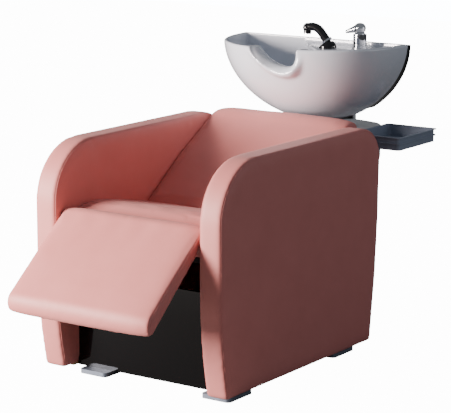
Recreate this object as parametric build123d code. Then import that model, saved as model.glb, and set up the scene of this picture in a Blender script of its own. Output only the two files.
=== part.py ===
from build123d import *
import math
import os

# A hair-washing bed: an upholstered armchair with a footrest, and behind it a tilting ceramic bowl
# with its taps, carried by a plastic housing that also holds a tray.
# Millimetres. X runs across the chair, Y from the foot end to the bowl, Z up from the floor.

# Overall sizes of the chair
overall_width = 680.0
arm_thickness = 76.5
arm_height = 714.0
body_floor_gap = 14.0
arm_front_y = -46.0
arm_back_y = 846.0

# Gaps between pieces
touch_gap = 0.3
side_gap = 1.0
hole_gap = 0.2
running_gap = 0.05
cut_overrun = 5.0

# Arms: large round corner at the front top, smaller one at the back top, feet drawn in
arm_front_radius = 185.0
arm_back_radius = 90.0
arm_front_straight_end = 330.0
arm_front_base_inset = 36.0
arm_back_lean_start = 560.0
arm_back_base_inset = 45.0
arm_back_bulge = 9.0
arm_toe_radius = 14.0
arm_heel_radius = 9.0
arm_edge_radius = 12.0
arm_core_thickness = 30.0
arm_wadding = 4.0
arm_foam = 26.0
arm_core_tongue = 50.0

# Seat: foam wedge on a board, with a front lip that closes on the footrest's nose
seat_rear_y = 401.0
seat_rear_z = 469.0
seat_crest_y = 130.0
seat_crest_z = 525.0
seat_board_top = 408.0
seat_board_thickness = 15.0
seat_front_gap = 1.5
seat_board_setback = 12.0
seat_crown = 3.0
seat_roll_rise = 3.5
seat_lip_length = 5.0
seat_side_drop = 9.0
seat_lip_angle = 41.0
seat_lip_angle_fall = 11.0
seat_side_inset = 12.0

# How the sides of every cushion fall away from its middle
crown_power = 7.0
crown_shares = (-1.0, -0.86, -0.66, -0.34, 0.0, 0.34, 0.66, 0.86, 1.0)

# Backrest: a slab that leans well back, rounded over the top
back_slope = 33.0
back_face_y = 431.0
back_face_z = 498.0
back_thickness = 90.0
back_face_length = 374.0
back_top_z = 727.5
back_top_y = 808.0
back_rear_y = 838.0
back_rear_top_z = 697.0
back_board_thickness = 15.0
back_board_start = 30.0
back_board_length = 378.0
back_side_drop = 14.0
back_crown = 5.0

# Footrest: a thin wedge with a round nose about its pivot
pivot_y = 5.0
pivot_z = 478.0
footrest_pitch = 39.0
footrest_width = 518.0
footrest_length = 359.0
nose_radius = 43.0
nose_inner_radius = 25.0
nose_end_angle = -5.0
pad_crown = 3.0
pad_tip_start = 312.0
pad_tip_drop = 35.0
pad_tip_knee_share = 0.26
pad_tip_arc_share = 0.32
pad_toe_arc_share = 0.29
pad_underside_start = 5.0
pad_underside_slope = 0.045
pad_toe_radius = 9.0
pad_side_drop = 8.0
footrest_board_thickness = 12.0
footrest_board_start = 36.0
footrest_board_margin = 10.0

# Footrest pivot: a tube that turns on stub pins fixed to the arms
tube_radius = 20.0
tube_wall = 3.0
tube_end_gap = 4.0
flange_radius = 32.0
flange_thickness = 3.0
pin_radius = 8.0
bush_length = 26.0
brake_length = 60.0
pin_overrun = 4.0
brake_spring_radius = 12.0
saddle_width = 36.0
saddle_offset = 150.0
saddle_tab_length = 70.0
saddle_plate = 4.0
saddle_screw_share = 0.6

# Steel frame under the upholstery
rail = 30.0
rail_wall = 2.0
frame_rear_y = 785.0
middle_rail_y = 645.0
post_spacing = 120.0
beam_bottom = 555.0
beam_end_y = 1045.0
beam_start_y = 763.0

# Black panels that close the body
panel_front_y = 58.5
panel_thickness = 12.0
panel_top_z = 306.0
rear_panel_top = 586.0
rear_slot_gap = 3.0

# Feet: flat plates, placed where the photo shows them
foot_width = 102.0
foot_length = 125.0
foot_front_y = 23.0
foot_rear_y = 600.0
foot_right_x = 273.5
foot_left_x = -182.0
foot_corner_radius = 13.0

# Housing behind the backrest
housing_half_width = 165.0
housing_front_y = 840.0
housing_rear_y = 1170.0
housing_top = 656.0
housing_crown = 8.0
housing_bottom = 528.0
housing_heel_y = 1118.0
housing_heel_z = 566.0
housing_wall = 4.0
housing_corner_radius = 38.0
housing_edge_radius = 7.0
beam_slot_gap = 4.0
boss_radius = 7.0
boss_height = 32.0
boss_inset = 12.0
cover_plate = 4.0
cover_margin = 1.0
stay_size = 20.0
stay_wall = 2.0
stay_y = 872.0

# Round neck between the housing and the bowl
neck_radius = 109.0
neck_y = 1046.0
neck_top = 698.0
neck_wall = 4.0
neck_gap = 5.0
neck_spigot = 9.0
neck_spigot_drop = 14.0
tilt_limit = 5.0
tilt_spare = 1.5

# Tilt pivot of the bowl
tilt_y = 1006.0
tilt_z = 650.0
lug_x = 60.0
lug_thickness = 5.0
lug_radius = 14.0
disc_thickness = 2.4
disc_radius = 13.0
ear_thickness = 6.0
ear_radius = 15.0
tilt_pin_radius = 7.0
tilt_head_radius = 12.0
tilt_head_thickness = 4.0
yoke_thickness = 6.0
yoke_half_width = 86.0
yoke_front_y = 958.0
yoke_hole_radius = 36.0
bracket_plate_thickness = 5.0
bracket_plate_half_width = 70.0
bracket_plate_front_y = 952.0
bracket_plate_rear_y = 1042.0
bracket_plate_round = 95.0
bracket_hole_radius = 31.0

# Bowl: half of a boat shape with a flat back, superellipse sections
rim_z = 945.0
bowl_half_width = 316.5
bowl_reach = 344.0
bowl_depth = 275.0
bowl_back_y = 1050.0
bowl_flat_z = 682.0
bowl_wall = 13.0
plan_power = 2.18
side_power = 1.82
front_power = 1.85
rim_radius = 4.0
bowl_section_shares = (0.0, 0.16, 0.34, 0.52, 0.68, 0.82, 0.92, 1.0)
bowl_section_steps = 16

# Neck recess of the bowl: an opening in the front wall with a thick rolled lip, steeper on its right
recess_half_width = 105.0
recess_drop = 79.0
recess_x_shares = (-0.83, -0.69, -0.43, -0.12, 0.12, 0.44, 0.75, 0.9, 0.99, 1.0)
recess_z_shares = (-0.15, 0.25, 0.57, 0.82, 0.94, 1.0, 0.91, 0.72, 0.43, -0.15)
recess_cut_share = 0.9
recess_reach = 150.0
lip_radius = 20.0
lip_depth_radius = 26.0
lip_y = 748.0
lip_top_gap = 1.0

# Deck for the taps, at the back right of the bowl
deck_drop = 16.0
deck_thickness = 12.0
deck_left_x = -95.0
deck_bend_x = 100.0
deck_bend_y = 834.0
deck_side_y = 800.0
deck_wall_lean = 0.42
deck_wall_width = 16.0
mouth_left_x = 45.0
mouth_right_x = 205.0
mouth_bottom = 800.0
mouth_top = 900.0

# Black cover on the bowl's flat back
back_cover_top = 941.0
back_cover_bottom = 722.0
back_cover_depth_top = 17.0
back_cover_depth_bottom = 44.0
back_cover_wall = 3.0
back_cover_inset = 1.5

# Waste of the bowl
drain_x = -22.0
drain_y = 992.0
drain_z = 698.0
drain_radius = 19.0
drain_wall = 2.0
drain_flange_radius = 30.0
drain_flange_thickness = 3.0
tail_length = 76.0
drain_nut_radius = 26.0
drain_nut_thickness = 8.0
strainer_radius = 15.5
strainer_rim_radius = 21.0
strainer_rim_thickness = 1.5
strainer_depth = 16.0
strainer_wall = 1.5
strainer_hole_radius = 2.0
strainer_ring_radius = 9.0
strainer_holes = 8

# Mixer on the deck
mixer_x = 177.0
mixer_y = 979.0
mixer_radius = 22.0
mixer_body_top = 39.0
mixer_ring_radius = 25.5
mixer_ring_height = 4.0
ball_radius = 17.5
ball_height = 43.0
cam_ring_top = 46.0
cap_rim_radius = 17.5
cap_rim_height = 55.0
cap_shoulder_radius = 20.0
cap_shoulder_height = 66.0
cap_top_height = 83.0
cap_bore = 10.0
lever_pin_radius = 2.0
lever_pin_inset = 1.5
lever_root_radius = 15.0
lever_root_length = 6.0
lever_tip_droop_share = 0.3
lever_tip_radius = 5.0
lever_length = 47.0
lever_root_height = 66.0
lever_tip_height = 47.0
lever_turn = 200.0
shank_radius = 10.0
shank_length = 34.0
deck_nut_radius = 17.0
deck_nut_thickness = 7.0

# Hand shower: a domed holder with a chrome ring, and a curved handle that is pulled out of it
holder_x = 84.5
holder_y = 931.0
holder_radius = 29.0
holder_top_radius = 18.0
holder_height = 21.0
holder_ring_radius = 17.0
holder_ring_length = 6.0
handset_lean = 38.0
handset_turn = 188.0
handle_radius = 13.5
handle_straight = 32.0
handle_bend_radius = 40.0
handle_bend = 77.0
stem_radius = 9.0
stem_length = 20.0
bore_depth = 24.0
head_radius = 15.5
spray_housing_radius = 12.6
spray_housing_length = 17.0
spray_radius = 11.8
spray_thickness = 4.0

# Tray on the right side of the housing
tray_left_x = 169.5
tray_width = 189.5
tray_front_y = 932.0
tray_length = 250.0
tray_bottom = 614.0
tray_height = 43.0
tray_wall = 3.0
tray_flange = 6.0
tray_flange_thickness = 3.0
tray_rib = 4.0
tray_rib_thickness = 4.0
tray_rib_z = 20.0
tray_corner_radius = 12.0
bracket_thickness = 3.0
bracket_reach = 120.0
bracket_length = 130.0
bracket_drop = 38.0

# Pipe ends on the rear panel
inlet_radius = 10.5
inlet_length = 28.0
inlet_bore = 7.0
inlet_flange_radius = 18.0
inlet_flange_thickness = 4.0
inlet_spacing = 80.0
inlet_z = 130.0
waste_radius = 20.0
waste_bore = 17.5
waste_length = 40.0
waste_flange_radius = 30.0
waste_z = 210.0

# Screws and bolts
screw_diameter = 5.0
screw_head_height = 3.0
screw_length = 22.0
bolt_diameter = 8.0
bolt_head_height = 5.0
bolt_bite = 24.0

half_width = overall_width / 2
arm_inner_x = half_width - arm_thickness
rail_x = arm_inner_x - touch_gap - rail / 2
panel_half_width = arm_inner_x - side_gap / 2
seat_half_width = arm_inner_x - side_gap
panel_back_y = panel_front_y + panel_thickness
frame_front_y = panel_back_y + touch_gap
seat_rail_bottom = seat_board_top - seat_board_thickness - rail
deck_z = rim_z - deck_drop
pad_direction = 180.0 + footrest_pitch


def block(x_low, x_high, y_low, y_high, z_low, z_high):
    """A box between six planes."""
    centre = Pos((x_low + x_high) / 2, (y_low + y_high) / 2, (z_low + z_high) / 2)
    return centre * Box(x_high - x_low, y_high - y_low, z_high - z_low)


def along_x(outline, x_low, x_high):
    """A solid with an outline drawn in Y and Z, between two X planes."""
    face = Plane.YZ * make_face(outline)
    return Pos(x_low, 0, 0) * extrude(face, x_high - x_low)


def rod_x(radius, x_low, x_high, y, z):
    """A round bar along X."""
    return Pos((x_low + x_high) / 2, y, z) * Rot(0, 90, 0) * Cylinder(radius, x_high - x_low)


def rod_z(radius, x, y, z_low, z_high):
    """An upright round bar."""
    return Pos(x, y, (z_low + z_high) / 2) * Cylinder(radius, z_high - z_low)


def square_tube(x_low, x_high, y_low, y_high, z_low, z_high, axis):
    """A square steel tube along the named axis, open at its ends."""
    outer = block(x_low, x_high, y_low, y_high, z_low, z_high)
    inset_x = 0 if axis == "x" else rail_wall
    inset_y = 0 if axis == "y" else rail_wall
    inset_z = 0 if axis == "z" else rail_wall
    inner = block(
        x_low + inset_x,
        x_high - inset_x,
        y_low + inset_y,
        y_high - inset_y,
        z_low + inset_z,
        z_high - inset_z,
    )
    return outer - inner


def screw(place, length=screw_length, diameter=screw_diameter, head=screw_head_height):
    """A round-headed screw: the head's seat is at the place's origin and the shank runs down its -Z."""
    top = Pos(0, 0, head / 2) * Cylinder(diameter, head)
    shank = Pos(0, 0, -length / 2) * Cylinder(diameter / 2, length)
    return place * (top + shank)


def screw_hole(place, length=screw_length, diameter=screw_diameter):
    """The hole that a screw's shank goes in, a little wider and longer."""
    depth = length + hole_gap
    return place * (Pos(0, 0, -depth / 2) * Cylinder(diameter / 2 + hole_gap, depth))


def drilled(solid, places, length=screw_length, diameter=screw_diameter):
    """A solid with a hole for each screw."""
    for place in places:
        solid = solid - screw_hole(place, length, diameter)
    return solid


def facing_down(x, y, z):
    """A place whose screw is driven upwards, with its head below."""
    return Pos(x, y, z) * Rot(180, 0, 0)


def arm_outline():
    """The arm's side view, as edges in Y and Z."""
    front_foot = (arm_front_y + arm_front_base_inset, body_floor_gap)
    back_foot = (arm_back_y - arm_back_base_inset, body_floor_gap)
    lean_mid_z = (body_floor_gap + arm_back_lean_start) / 2
    lean_mid_y = arm_back_y - arm_back_base_inset / 2 + arm_back_bulge
    straight = arm_front_straight_end - body_floor_gap
    bow_mid = (arm_front_y + arm_front_base_inset / 4, arm_front_straight_end - straight / 2)
    diagonal = math.sqrt(0.5)
    back_centre = (arm_back_y - arm_back_radius, arm_height - arm_back_radius)
    front_centre = (arm_front_y + arm_front_radius, arm_height - arm_front_radius)
    back_mid = (back_centre[0] + arm_back_radius * diagonal, back_centre[1] + arm_back_radius * diagonal)
    front_mid = (front_centre[0] - arm_front_radius * diagonal, front_centre[1] + arm_front_radius * diagonal)
    return [
        Line(front_foot, back_foot),
        ThreePointArc(back_foot, (lean_mid_y, lean_mid_z), (arm_back_y, arm_back_lean_start)),
        Line((arm_back_y, arm_back_lean_start), (arm_back_y, back_centre[1])),
        ThreePointArc((arm_back_y, back_centre[1]), back_mid, (back_centre[0], arm_height)),
        Line((back_centre[0], arm_height), (front_centre[0], arm_height)),
        ThreePointArc((front_centre[0], arm_height), front_mid, (arm_front_y, front_centre[1])),
        Line((arm_front_y, front_centre[1]), (arm_front_y, arm_front_straight_end)),
        ThreePointArc((arm_front_y, arm_front_straight_end), bow_mid, front_foot),
    ]


def arm_core_x(sign):
    """The middle of an arm's core, close behind the arm's inner side."""
    return sign * (arm_inner_x + arm_wadding + arm_core_thickness / 2)


def arm_core(x_centre):
    """The plywood panel inside an arm, with a tongue down to the floor gap."""
    x_low = x_centre - arm_core_thickness / 2
    x_high = x_centre + arm_core_thickness / 2
    face = offset(make_face(arm_outline()), amount=-arm_foam)
    panel = Pos(x_low, 0, 0) * extrude(Plane.YZ * face, arm_core_thickness)
    tongue_front = arm_front_y + arm_front_base_inset + arm_core_tongue
    tongue_rear = arm_back_y - arm_back_base_inset - arm_core_tongue
    tongue = block(x_low, x_high, tongue_front, tongue_rear, body_floor_gap, body_floor_gap + arm_core_tongue)
    return panel + tongue


def arm_pair():
    """Both arms: a foam and leatherette cover each, drawn over a plywood core."""
    pieces = {}
    for side, sign in (("left", -1), ("right", 1)):
        inner = sign * arm_inner_x
        outer = sign * half_width
        shell = along_x(arm_outline(), min(inner, outer), max(inner, outer))
        corners = shell.edges().filter_by(Axis.X).sort_by(Axis.Z)[:2].sort_by(Axis.Y)
        shell = fillet(corners[0], arm_toe_radius)
        heel = shell.edges().filter_by(Axis.X).sort_by(Axis.Z)[:3].sort_by(Axis.Y)[-1]
        shell = fillet(heel, arm_heel_radius)
        rims = [shell.faces().sort_by(Axis.X)[0], shell.faces().sort_by(Axis.X)[-1]]
        edges = [edge for rim in rims for edge in rim.edges()]
        shell = fillet(edges, arm_edge_radius)
        core = arm_core(arm_core_x(sign))
        cover = shell - core
        pieces["arm_cover_" + side] = cover
        pieces["arm_core_" + side] = core
    return pieces


def on_nose(angle, radius):
    """A point about the footrest's pivot, at an angle from +Y towards +Z."""
    turn = math.radians(angle)
    return (pivot_y + radius * math.cos(turn), pivot_z + radius * math.sin(turn))


def seat_section(x, drop):
    """The seat cushion's side view at one X, with its top lowered by drop."""
    lip_angle = seat_lip_angle - seat_lip_angle_fall * drop / seat_side_drop
    hug = nose_radius + seat_front_gap
    lip = on_nose(lip_angle, hug)
    front_top = on_nose(0.0, hug)
    front_bottom = (front_top[0], seat_board_top)
    roll = (lip[0] + seat_lip_length * 0.6, lip[1] + seat_lip_length)
    crest = (seat_crest_y, seat_crest_z - drop)
    roll_mid = ((roll[0] + crest[0]) / 2, (roll[1] + crest[1]) / 2 + seat_roll_rise)
    rear = (seat_rear_y, seat_rear_z - drop / 3)
    top_mid = ((crest[0] + rear[0]) / 2, (crest[1] + rear[1]) / 2 + seat_crown)
    lean = math.tan(math.radians(back_slope))
    rear_bottom = (rear[0] + (rear[1] - seat_board_top) * lean * 1.2, seat_board_top)
    edges = [
        Line(front_bottom, front_top),
        ThreePointArc(front_top, on_nose(lip_angle / 2, hug), lip),
        Line(lip, roll),
        ThreePointArc(roll, roll_mid, crest),
        ThreePointArc(crest, top_mid, rear),
        Line(rear, rear_bottom),
        Line(rear_bottom, front_bottom),
    ]
    return Pos(x, 0, 0) * (Plane.YZ * make_face(edges))


def crowned(section, half, drop):
    """A cushion lofted across the chair: full height in the middle, its sides drawn in."""
    return loft([section(share * half, drop * abs(share) ** crown_power) for share in crown_shares])


def seat():
    """The seat cushion on its plywood board."""
    cushion = crowned(seat_section, seat_half_width, seat_side_drop)
    board = block(
        -seat_half_width + seat_side_inset,
        seat_half_width - seat_side_inset,
        pivot_y + nose_radius + seat_board_setback,
        seat_rear_y + seat_board_setback * 3,
        seat_board_top - seat_board_thickness,
        seat_board_top,
    )
    return {"seat_cushion": cushion, "seat_board": board}


def on_back(run, depth):
    """A point by its run up the backrest's face and its depth behind that face."""
    turn = math.radians(back_slope)
    y = back_face_y + run * math.cos(turn) + depth * math.sin(turn)
    z = back_face_z + run * math.sin(turn) - depth * math.cos(turn)
    return (y, z)


def back_section(x, drop):
    """The backrest cushion's side view at one X, with its face lowered by drop."""
    toe = (seat_rear_y + touch_gap * 6, seat_rear_z - drop / 3)
    toe_mid = ((toe[0] + back_face_y) / 2 - touch_gap, (toe[1] + back_face_z) / 2 - drop / 2 + back_crown / 2)
    face_low = on_back(0.0, drop / 2)
    face_mid = on_back(back_face_length / 2, drop / 3 - back_crown)
    face_high = on_back(back_face_length, drop / 2)
    top = (back_top_y, back_top_z - drop)
    shoulder = ((face_high[0] + top[0]) / 2, (face_high[1] + top[1]) / 2 + back_crown)
    rear_top = (back_rear_y, back_rear_top_z - drop / 2)
    roll_mid = (back_rear_y - (back_rear_y - back_top_y) * 0.27, top[1] - (top[1] - rear_top[1]) * 0.27)
    lower_end = on_back(0.0, back_thickness)
    slope = math.tan(math.radians(back_slope))
    rear_low = (back_rear_y, lower_end[1] + (back_rear_y - lower_end[0]) * slope)
    heel = (toe[0] + (toe[1] - seat_board_top) * slope * 1.2, seat_board_top + touch_gap)
    lower = (lower_end[0], lower_end[1] + touch_gap)
    edges = [
        ThreePointArc(toe, toe_mid, face_low),
        ThreePointArc(face_low, face_mid, face_high),
        ThreePointArc(face_high, shoulder, top),
        ThreePointArc(top, roll_mid, rear_top),
        Line(rear_top, rear_low),
        Line(rear_low, lower),
        Line(lower, heel),
        Line(heel, toe),
    ]
    return Pos(x, 0, 0) * (Plane.YZ * make_face(edges))


def backrest():
    """The backrest cushion and the board behind it."""
    cushion = crowned(back_section, seat_half_width, back_side_drop)
    low = on_back(back_board_start, back_thickness + touch_gap)
    high = on_back(back_board_start + back_board_length, back_thickness + touch_gap)
    board_rear = back_thickness + touch_gap + back_board_thickness
    deep_high = on_back(back_board_start + back_board_length, board_rear)
    deep_low = on_back(back_board_start, board_rear)
    outline = Polyline(low, high, deep_high, deep_low, close=True)
    half = seat_half_width - seat_side_inset
    return {"back_cushion": cushion, "back_board": along_x(outline, -half, half)}


def on_pad(along, height):
    """A point of the footrest by its distance along the pad from the pivot and its height over it."""
    turn = math.radians(pad_direction)
    y = pivot_y + along * math.cos(turn) + height * math.sin(turn)
    z = pivot_z + along * math.sin(turn) - height * math.cos(turn)
    return (y, z)


def underside(along):
    """Height of the footrest's underside over the pivot at a distance along the pad."""
    return pad_underside_start - pad_underside_slope * along


def pad_section(x, drop):
    """The footrest cushion's side view at one X: a round nose and a wedge, its top lowered by drop."""
    end = footrest_length - drop
    mid_angle = (nose_end_angle + pad_direction - 90.0) / 2
    top_angle = pad_direction - 90.0
    wrap_angle = pad_direction - math.degrees(math.asin(pad_underside_start / nose_inner_radius))
    outer = nose_radius - drop
    toe = end - pad_toe_radius
    knee = (pad_tip_start + end) / 2 + pad_tip_drop * pad_tip_knee_share
    tip_low = outer - pad_tip_drop
    toe_back = pad_toe_radius * pad_toe_arc_share
    edges = [
        ThreePointArc(on_nose(nose_end_angle, outer), on_nose(mid_angle, outer), on_nose(top_angle, outer)),
        ThreePointArc(
            on_pad(0.0, outer), on_pad(pad_tip_start / 2, outer + pad_crown), on_pad(pad_tip_start, outer)
        ),
        ThreePointArc(
            on_pad(pad_tip_start, outer),
            on_pad(knee, outer - pad_tip_drop * pad_tip_arc_share),
            on_pad(end, tip_low),
        ),
        Line(on_pad(end, tip_low), on_pad(end, underside(toe) + pad_toe_radius)),
        ThreePointArc(
            on_pad(end, underside(toe) + pad_toe_radius),
            on_pad(end - toe_back, underside(toe) + toe_back),
            on_pad(toe, underside(toe)),
        ),
        Line(on_pad(toe, underside(toe)), on_pad(footrest_board_start, underside(footrest_board_start))),
        Line(
            on_pad(footrest_board_start, underside(footrest_board_start)),
            on_nose(wrap_angle, nose_inner_radius),
        ),
        ThreePointArc(
            on_nose(wrap_angle, nose_inner_radius),
            on_nose((wrap_angle + nose_end_angle) / 2, nose_inner_radius),
            on_nose(nose_end_angle, nose_inner_radius),
        ),
        Line(on_nose(nose_end_angle, nose_inner_radius), on_nose(nose_end_angle, outer)),
    ]
    return Pos(x, 0, 0) * (Plane.YZ * make_face(edges))


def saddle_places():
    """The screws that hold each saddle to the footrest board, driven upwards through its tab."""
    along = footrest_board_start + saddle_tab_length * saddle_screw_share
    places = []
    for x in (-saddle_offset, saddle_offset):
        y, z = on_pad(along, underside(along) - saddle_plate)
        places.append(Pos(x, y, z) * Rot(-footrest_tilt() + 180.0, 0, 0))
    return places


def footrest_tilt():
    """The turn about X, in degrees, of the pad's underside."""
    return -footrest_pitch - math.degrees(math.atan(pad_underside_slope))


def footrest():
    """The footrest: cushion, board, pivot tube with its bush and brake sleeve, and two saddles."""
    half = footrest_width / 2
    pad = crowned(pad_section, half, pad_side_drop)
    start = footrest_board_start
    end = footrest_length - pad_side_drop - footrest_board_margin
    corners = (
        on_pad(start, underside(start)),
        on_pad(end, underside(end)),
        on_pad(end, underside(end) + footrest_board_thickness),
        on_pad(start, underside(start) + footrest_board_thickness),
    )
    board_half = half - footrest_board_margin
    board = along_x(Polyline(*corners, close=True), -board_half, board_half)
    cushion = pad - board

    tube_half = arm_inner_x - flange_thickness - tube_end_gap
    tube = rod_x(tube_radius, -tube_half, tube_half, pivot_y, pivot_z)
    tube = tube - rod_x(tube_radius - tube_wall, -tube_half, tube_half, pivot_y, pivot_z)

    saddles = None
    for x in (-saddle_offset, saddle_offset):
        ring_radius = nose_inner_radius - touch_gap
        x_low = x - saddle_width / 2
        x_high = x + saddle_width / 2
        ring = rod_x(ring_radius, x_low, x_high, pivot_y, pivot_z)
        tab_end = start + saddle_tab_length
        tab_outline = Polyline(
            on_pad(0.0, underside(0.0) - touch_gap),
            on_pad(tab_end, underside(tab_end)),
            on_pad(tab_end, underside(tab_end) - saddle_plate),
            on_pad(start, underside(start) - saddle_plate),
            on_pad(0.0, underside(0.0) - saddle_plate * 3),
            close=True,
        )
        saddle = ring + along_x(tab_outline, x_low, x_high)
        seat = rod_x(tube_radius + running_gap, x_low - cut_overrun, x_high + cut_overrun, pivot_y, pivot_z)
        saddle = saddle - seat
        saddles = saddle if saddles is None else saddles + saddle

    places = saddle_places()
    length = saddle_plate + footrest_board_thickness * 0.8
    board = drilled(board, places, length)
    saddles = drilled(saddles, places, length)
    screws = Compound([screw(place, length) for place in places])

    bush_outer = tube_radius - tube_wall - running_gap
    bush = rod_x(bush_outer, tube_half - bush_length, tube_half, pivot_y, pivot_z)
    bush = bush - rod_x(pin_radius + running_gap, tube_half - bush_length, tube_half, pivot_y, pivot_z)
    sleeve = rod_x(bush_outer, -tube_half, -tube_half + brake_length, pivot_y, pivot_z)
    sleeve = sleeve - rod_x(
        brake_spring_radius + running_gap, -tube_half, -tube_half + brake_length, pivot_y, pivot_z
    )
    return {
        "footrest_cushion": cushion,
        "footrest_board": board,
        "footrest_pivot_tube": tube,
        "footrest_saddles": saddles,
        "footrest_screws": screws,
        "footrest_bush": bush,
        "footrest_brake_sleeve": sleeve,
    }


def pivot_screw_places(sign):
    """Three screws around each pivot flange, driven outwards into the arm."""
    places = []
    for angle in (90.0, 210.0, 330.0):
        y, z = on_nose(angle, (flange_radius + pin_radius) / 2)
        places.append(Pos(sign * (arm_inner_x - flange_thickness), y, z) * Rot(0, -90.0 * sign, 0))
    return places


def footrest_pivots():
    """A flange with a stub pin on each arm, and the wrap spring of the brake on the left one."""
    pieces = {}
    tube_half = arm_inner_x - flange_thickness - tube_end_gap
    for side, sign, reach in (("left", -1, brake_length), ("right", 1, bush_length)):
        inner = sign * (arm_inner_x - flange_thickness)
        outer = sign * arm_inner_x
        end = sign * (tube_half - reach - pin_overrun)
        flange = rod_x(flange_radius, min(inner, outer), max(inner, outer), pivot_y, pivot_z)
        flange = drilled(flange, pivot_screw_places(sign), flange_thickness * 2)
        pin = rod_x(pin_radius, min(inner, end), max(inner, end), pivot_y, pivot_z)
        pieces["pivot_flange_" + side] = flange + pin
    spring_end = -tube_half + brake_length
    spring = rod_x(brake_spring_radius, -tube_half, spring_end, pivot_y, pivot_z)
    spring = spring - rod_x(pin_radius + running_gap, -tube_half, spring_end, pivot_y, pivot_z)
    pieces["brake_wrap_spring"] = spring
    return pieces


def frame():
    """The welded square-tube frame: cross rails, floor rails, posts and seat rails."""
    floor_top = body_floor_gap + rail
    inner = rail_x - rail / 2
    front = (frame_front_y, frame_front_y + rail)
    middle = (middle_rail_y, middle_rail_y + rail)
    rear = (frame_rear_y - rail, frame_rear_y)
    cross = [
        square_tube(-inner, inner, y_low, y_high, body_floor_gap, floor_top, "x")
        for y_low, y_high in (front, middle, rear)
    ]
    floor_rails = []
    posts = []
    seat_rails = []
    for sign in (-1, 1):
        x_low = sign * rail_x - rail / 2
        x_high = sign * rail_x + rail / 2
        floor_rails.append(square_tube(x_low, x_high, front[0], rear[1], body_floor_gap, floor_top, "y"))
        for y_low, y_high in (front, rear):
            posts.append(square_tube(x_low, x_high, y_low, y_high, floor_top, seat_rail_bottom, "z"))
        seat_rails.append(
            square_tube(x_low, x_high, front[0], rear[1], seat_rail_bottom, seat_rail_bottom + rail, "y")
        )
    return {
        "cross_rails": Compound(cross),
        "floor_rails": Compound(floor_rails),
        "posts": Compound(posts),
        "seat_rails": Compound(seat_rails),
    }


def column():
    """Two uprights on the rear cross rail, and the two beams that reach back under the bowl."""
    uprights = []
    beams = []
    for sign in (-1, 1):
        x_low = sign * post_spacing / 2 - rail / 2
        x_high = sign * post_spacing / 2 + rail / 2
        uprights.append(
            square_tube(
                x_low, x_high, frame_rear_y - rail, frame_rear_y, body_floor_gap + rail, beam_bottom, "z"
            )
        )
        beams.append(
            square_tube(x_low, x_high, beam_start_y, beam_end_y, beam_bottom, beam_bottom + rail, "y")
        )
    return {"column_uprights": Compound(uprights), "bowl_beams": Compound(beams)}


def seat_screw_places():
    """Screws driven up through the seat rails' inner edges into the seat board."""
    y_front = pivot_y + nose_radius + seat_board_setback * 3
    y_rear = seat_rear_y - seat_board_setback
    places = []
    for sign in (-1, 1):
        for y in (y_front, (y_front + y_rear) / 2, y_rear):
            places.append(facing_down(sign * rail_x, y, seat_board_top - seat_board_thickness - rail_wall))
    return places


def panels():
    """The gloss black kick panel in front and the black panel behind."""
    kick = block(
        -panel_half_width, panel_half_width, panel_front_y, panel_back_y, body_floor_gap, panel_top_z
    )
    rear_y = frame_rear_y + touch_gap
    rear = block(
        -panel_half_width, panel_half_width, rear_y, rear_y + panel_thickness, body_floor_gap, rear_panel_top
    )
    for sign in (-1, 1):
        x = sign * post_spacing / 2
        slot = block(
            x - rail / 2 - rear_slot_gap,
            x + rail / 2 + rear_slot_gap,
            rear_y - cut_overrun,
            rear_y + panel_thickness + cut_overrun,
            beam_bottom - rear_slot_gap,
            rear_panel_top + cut_overrun,
        )
        rear = rear - slot
    return {"kick_panel": kick, "rear_panel": rear}


def kick_screw_places():
    """Screws from inside the front posts into the kick panel's back."""
    places = []
    for sign in (-1, 1):
        for z in (panel_top_z * 0.35, panel_top_z * 0.8):
            places.append(Pos(sign * rail_x, frame_front_y + rail_wall, z) * Rot(-90, 0, 0))
    return places


def rear_screw_places():
    """Screws through the rear panel into the rear posts."""
    rear_face = frame_rear_y + touch_gap + panel_thickness
    places = []
    for sign in (-1, 1):
        for z in (panel_top_z * 0.35, panel_top_z):
            places.append(Pos(sign * rail_x, rear_face, z) * Rot(-90, 0, 0))
    return places


def foot_plate(x_centre, y_front):
    """A flat foot with rounded corners."""
    plan = RectangleRounded(foot_width, foot_length, foot_corner_radius)
    return Pos(x_centre, y_front + foot_length / 2, 0) * extrude(plan, body_floor_gap)


def feet():
    """The four feet, as separate plates."""
    plates = [foot_plate(x, y) for x in (foot_right_x, foot_left_x) for y in (foot_front_y, foot_rear_y)]
    return {"feet": Compound(plates)}


def foot_screw_places():
    """Two screws in each foot, driven upwards into what stands on it."""
    places = []
    spread = foot_length / 4
    for x, y in (
        (rail_x, foot_front_y + foot_length - spread),
        (rail_x, foot_rear_y + spread),
        (rail_x, foot_rear_y + foot_length - spread),
        (arm_core_x(1), foot_front_y + foot_length - spread),
        (arm_core_x(1), foot_rear_y + spread),
        (foot_left_x - spread, frame_front_y + rail / 2),
        (foot_left_x + spread, frame_front_y + rail / 2),
        (foot_left_x - spread, middle_rail_y + rail / 2),
        (foot_left_x + spread, middle_rail_y + rail / 2),
    ):
        places.append(facing_down(x, y, screw_head_height))
    return places


def arm_bolt_places():
    """Bolts from inside the rails, through them and into the arm cores."""
    places = []
    low = body_floor_gap + rail / 2
    high = seat_rail_bottom + rail / 2
    for sign in (-1, 1):
        for y in (frame_front_y + rail * 1.5, frame_rear_y - rail * 1.5):
            for z in (low, high):
                places.append(Pos(sign * (rail_x - rail / 2), y, z) * Rot(0, -90.0 * sign, 0))
    return places


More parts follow.
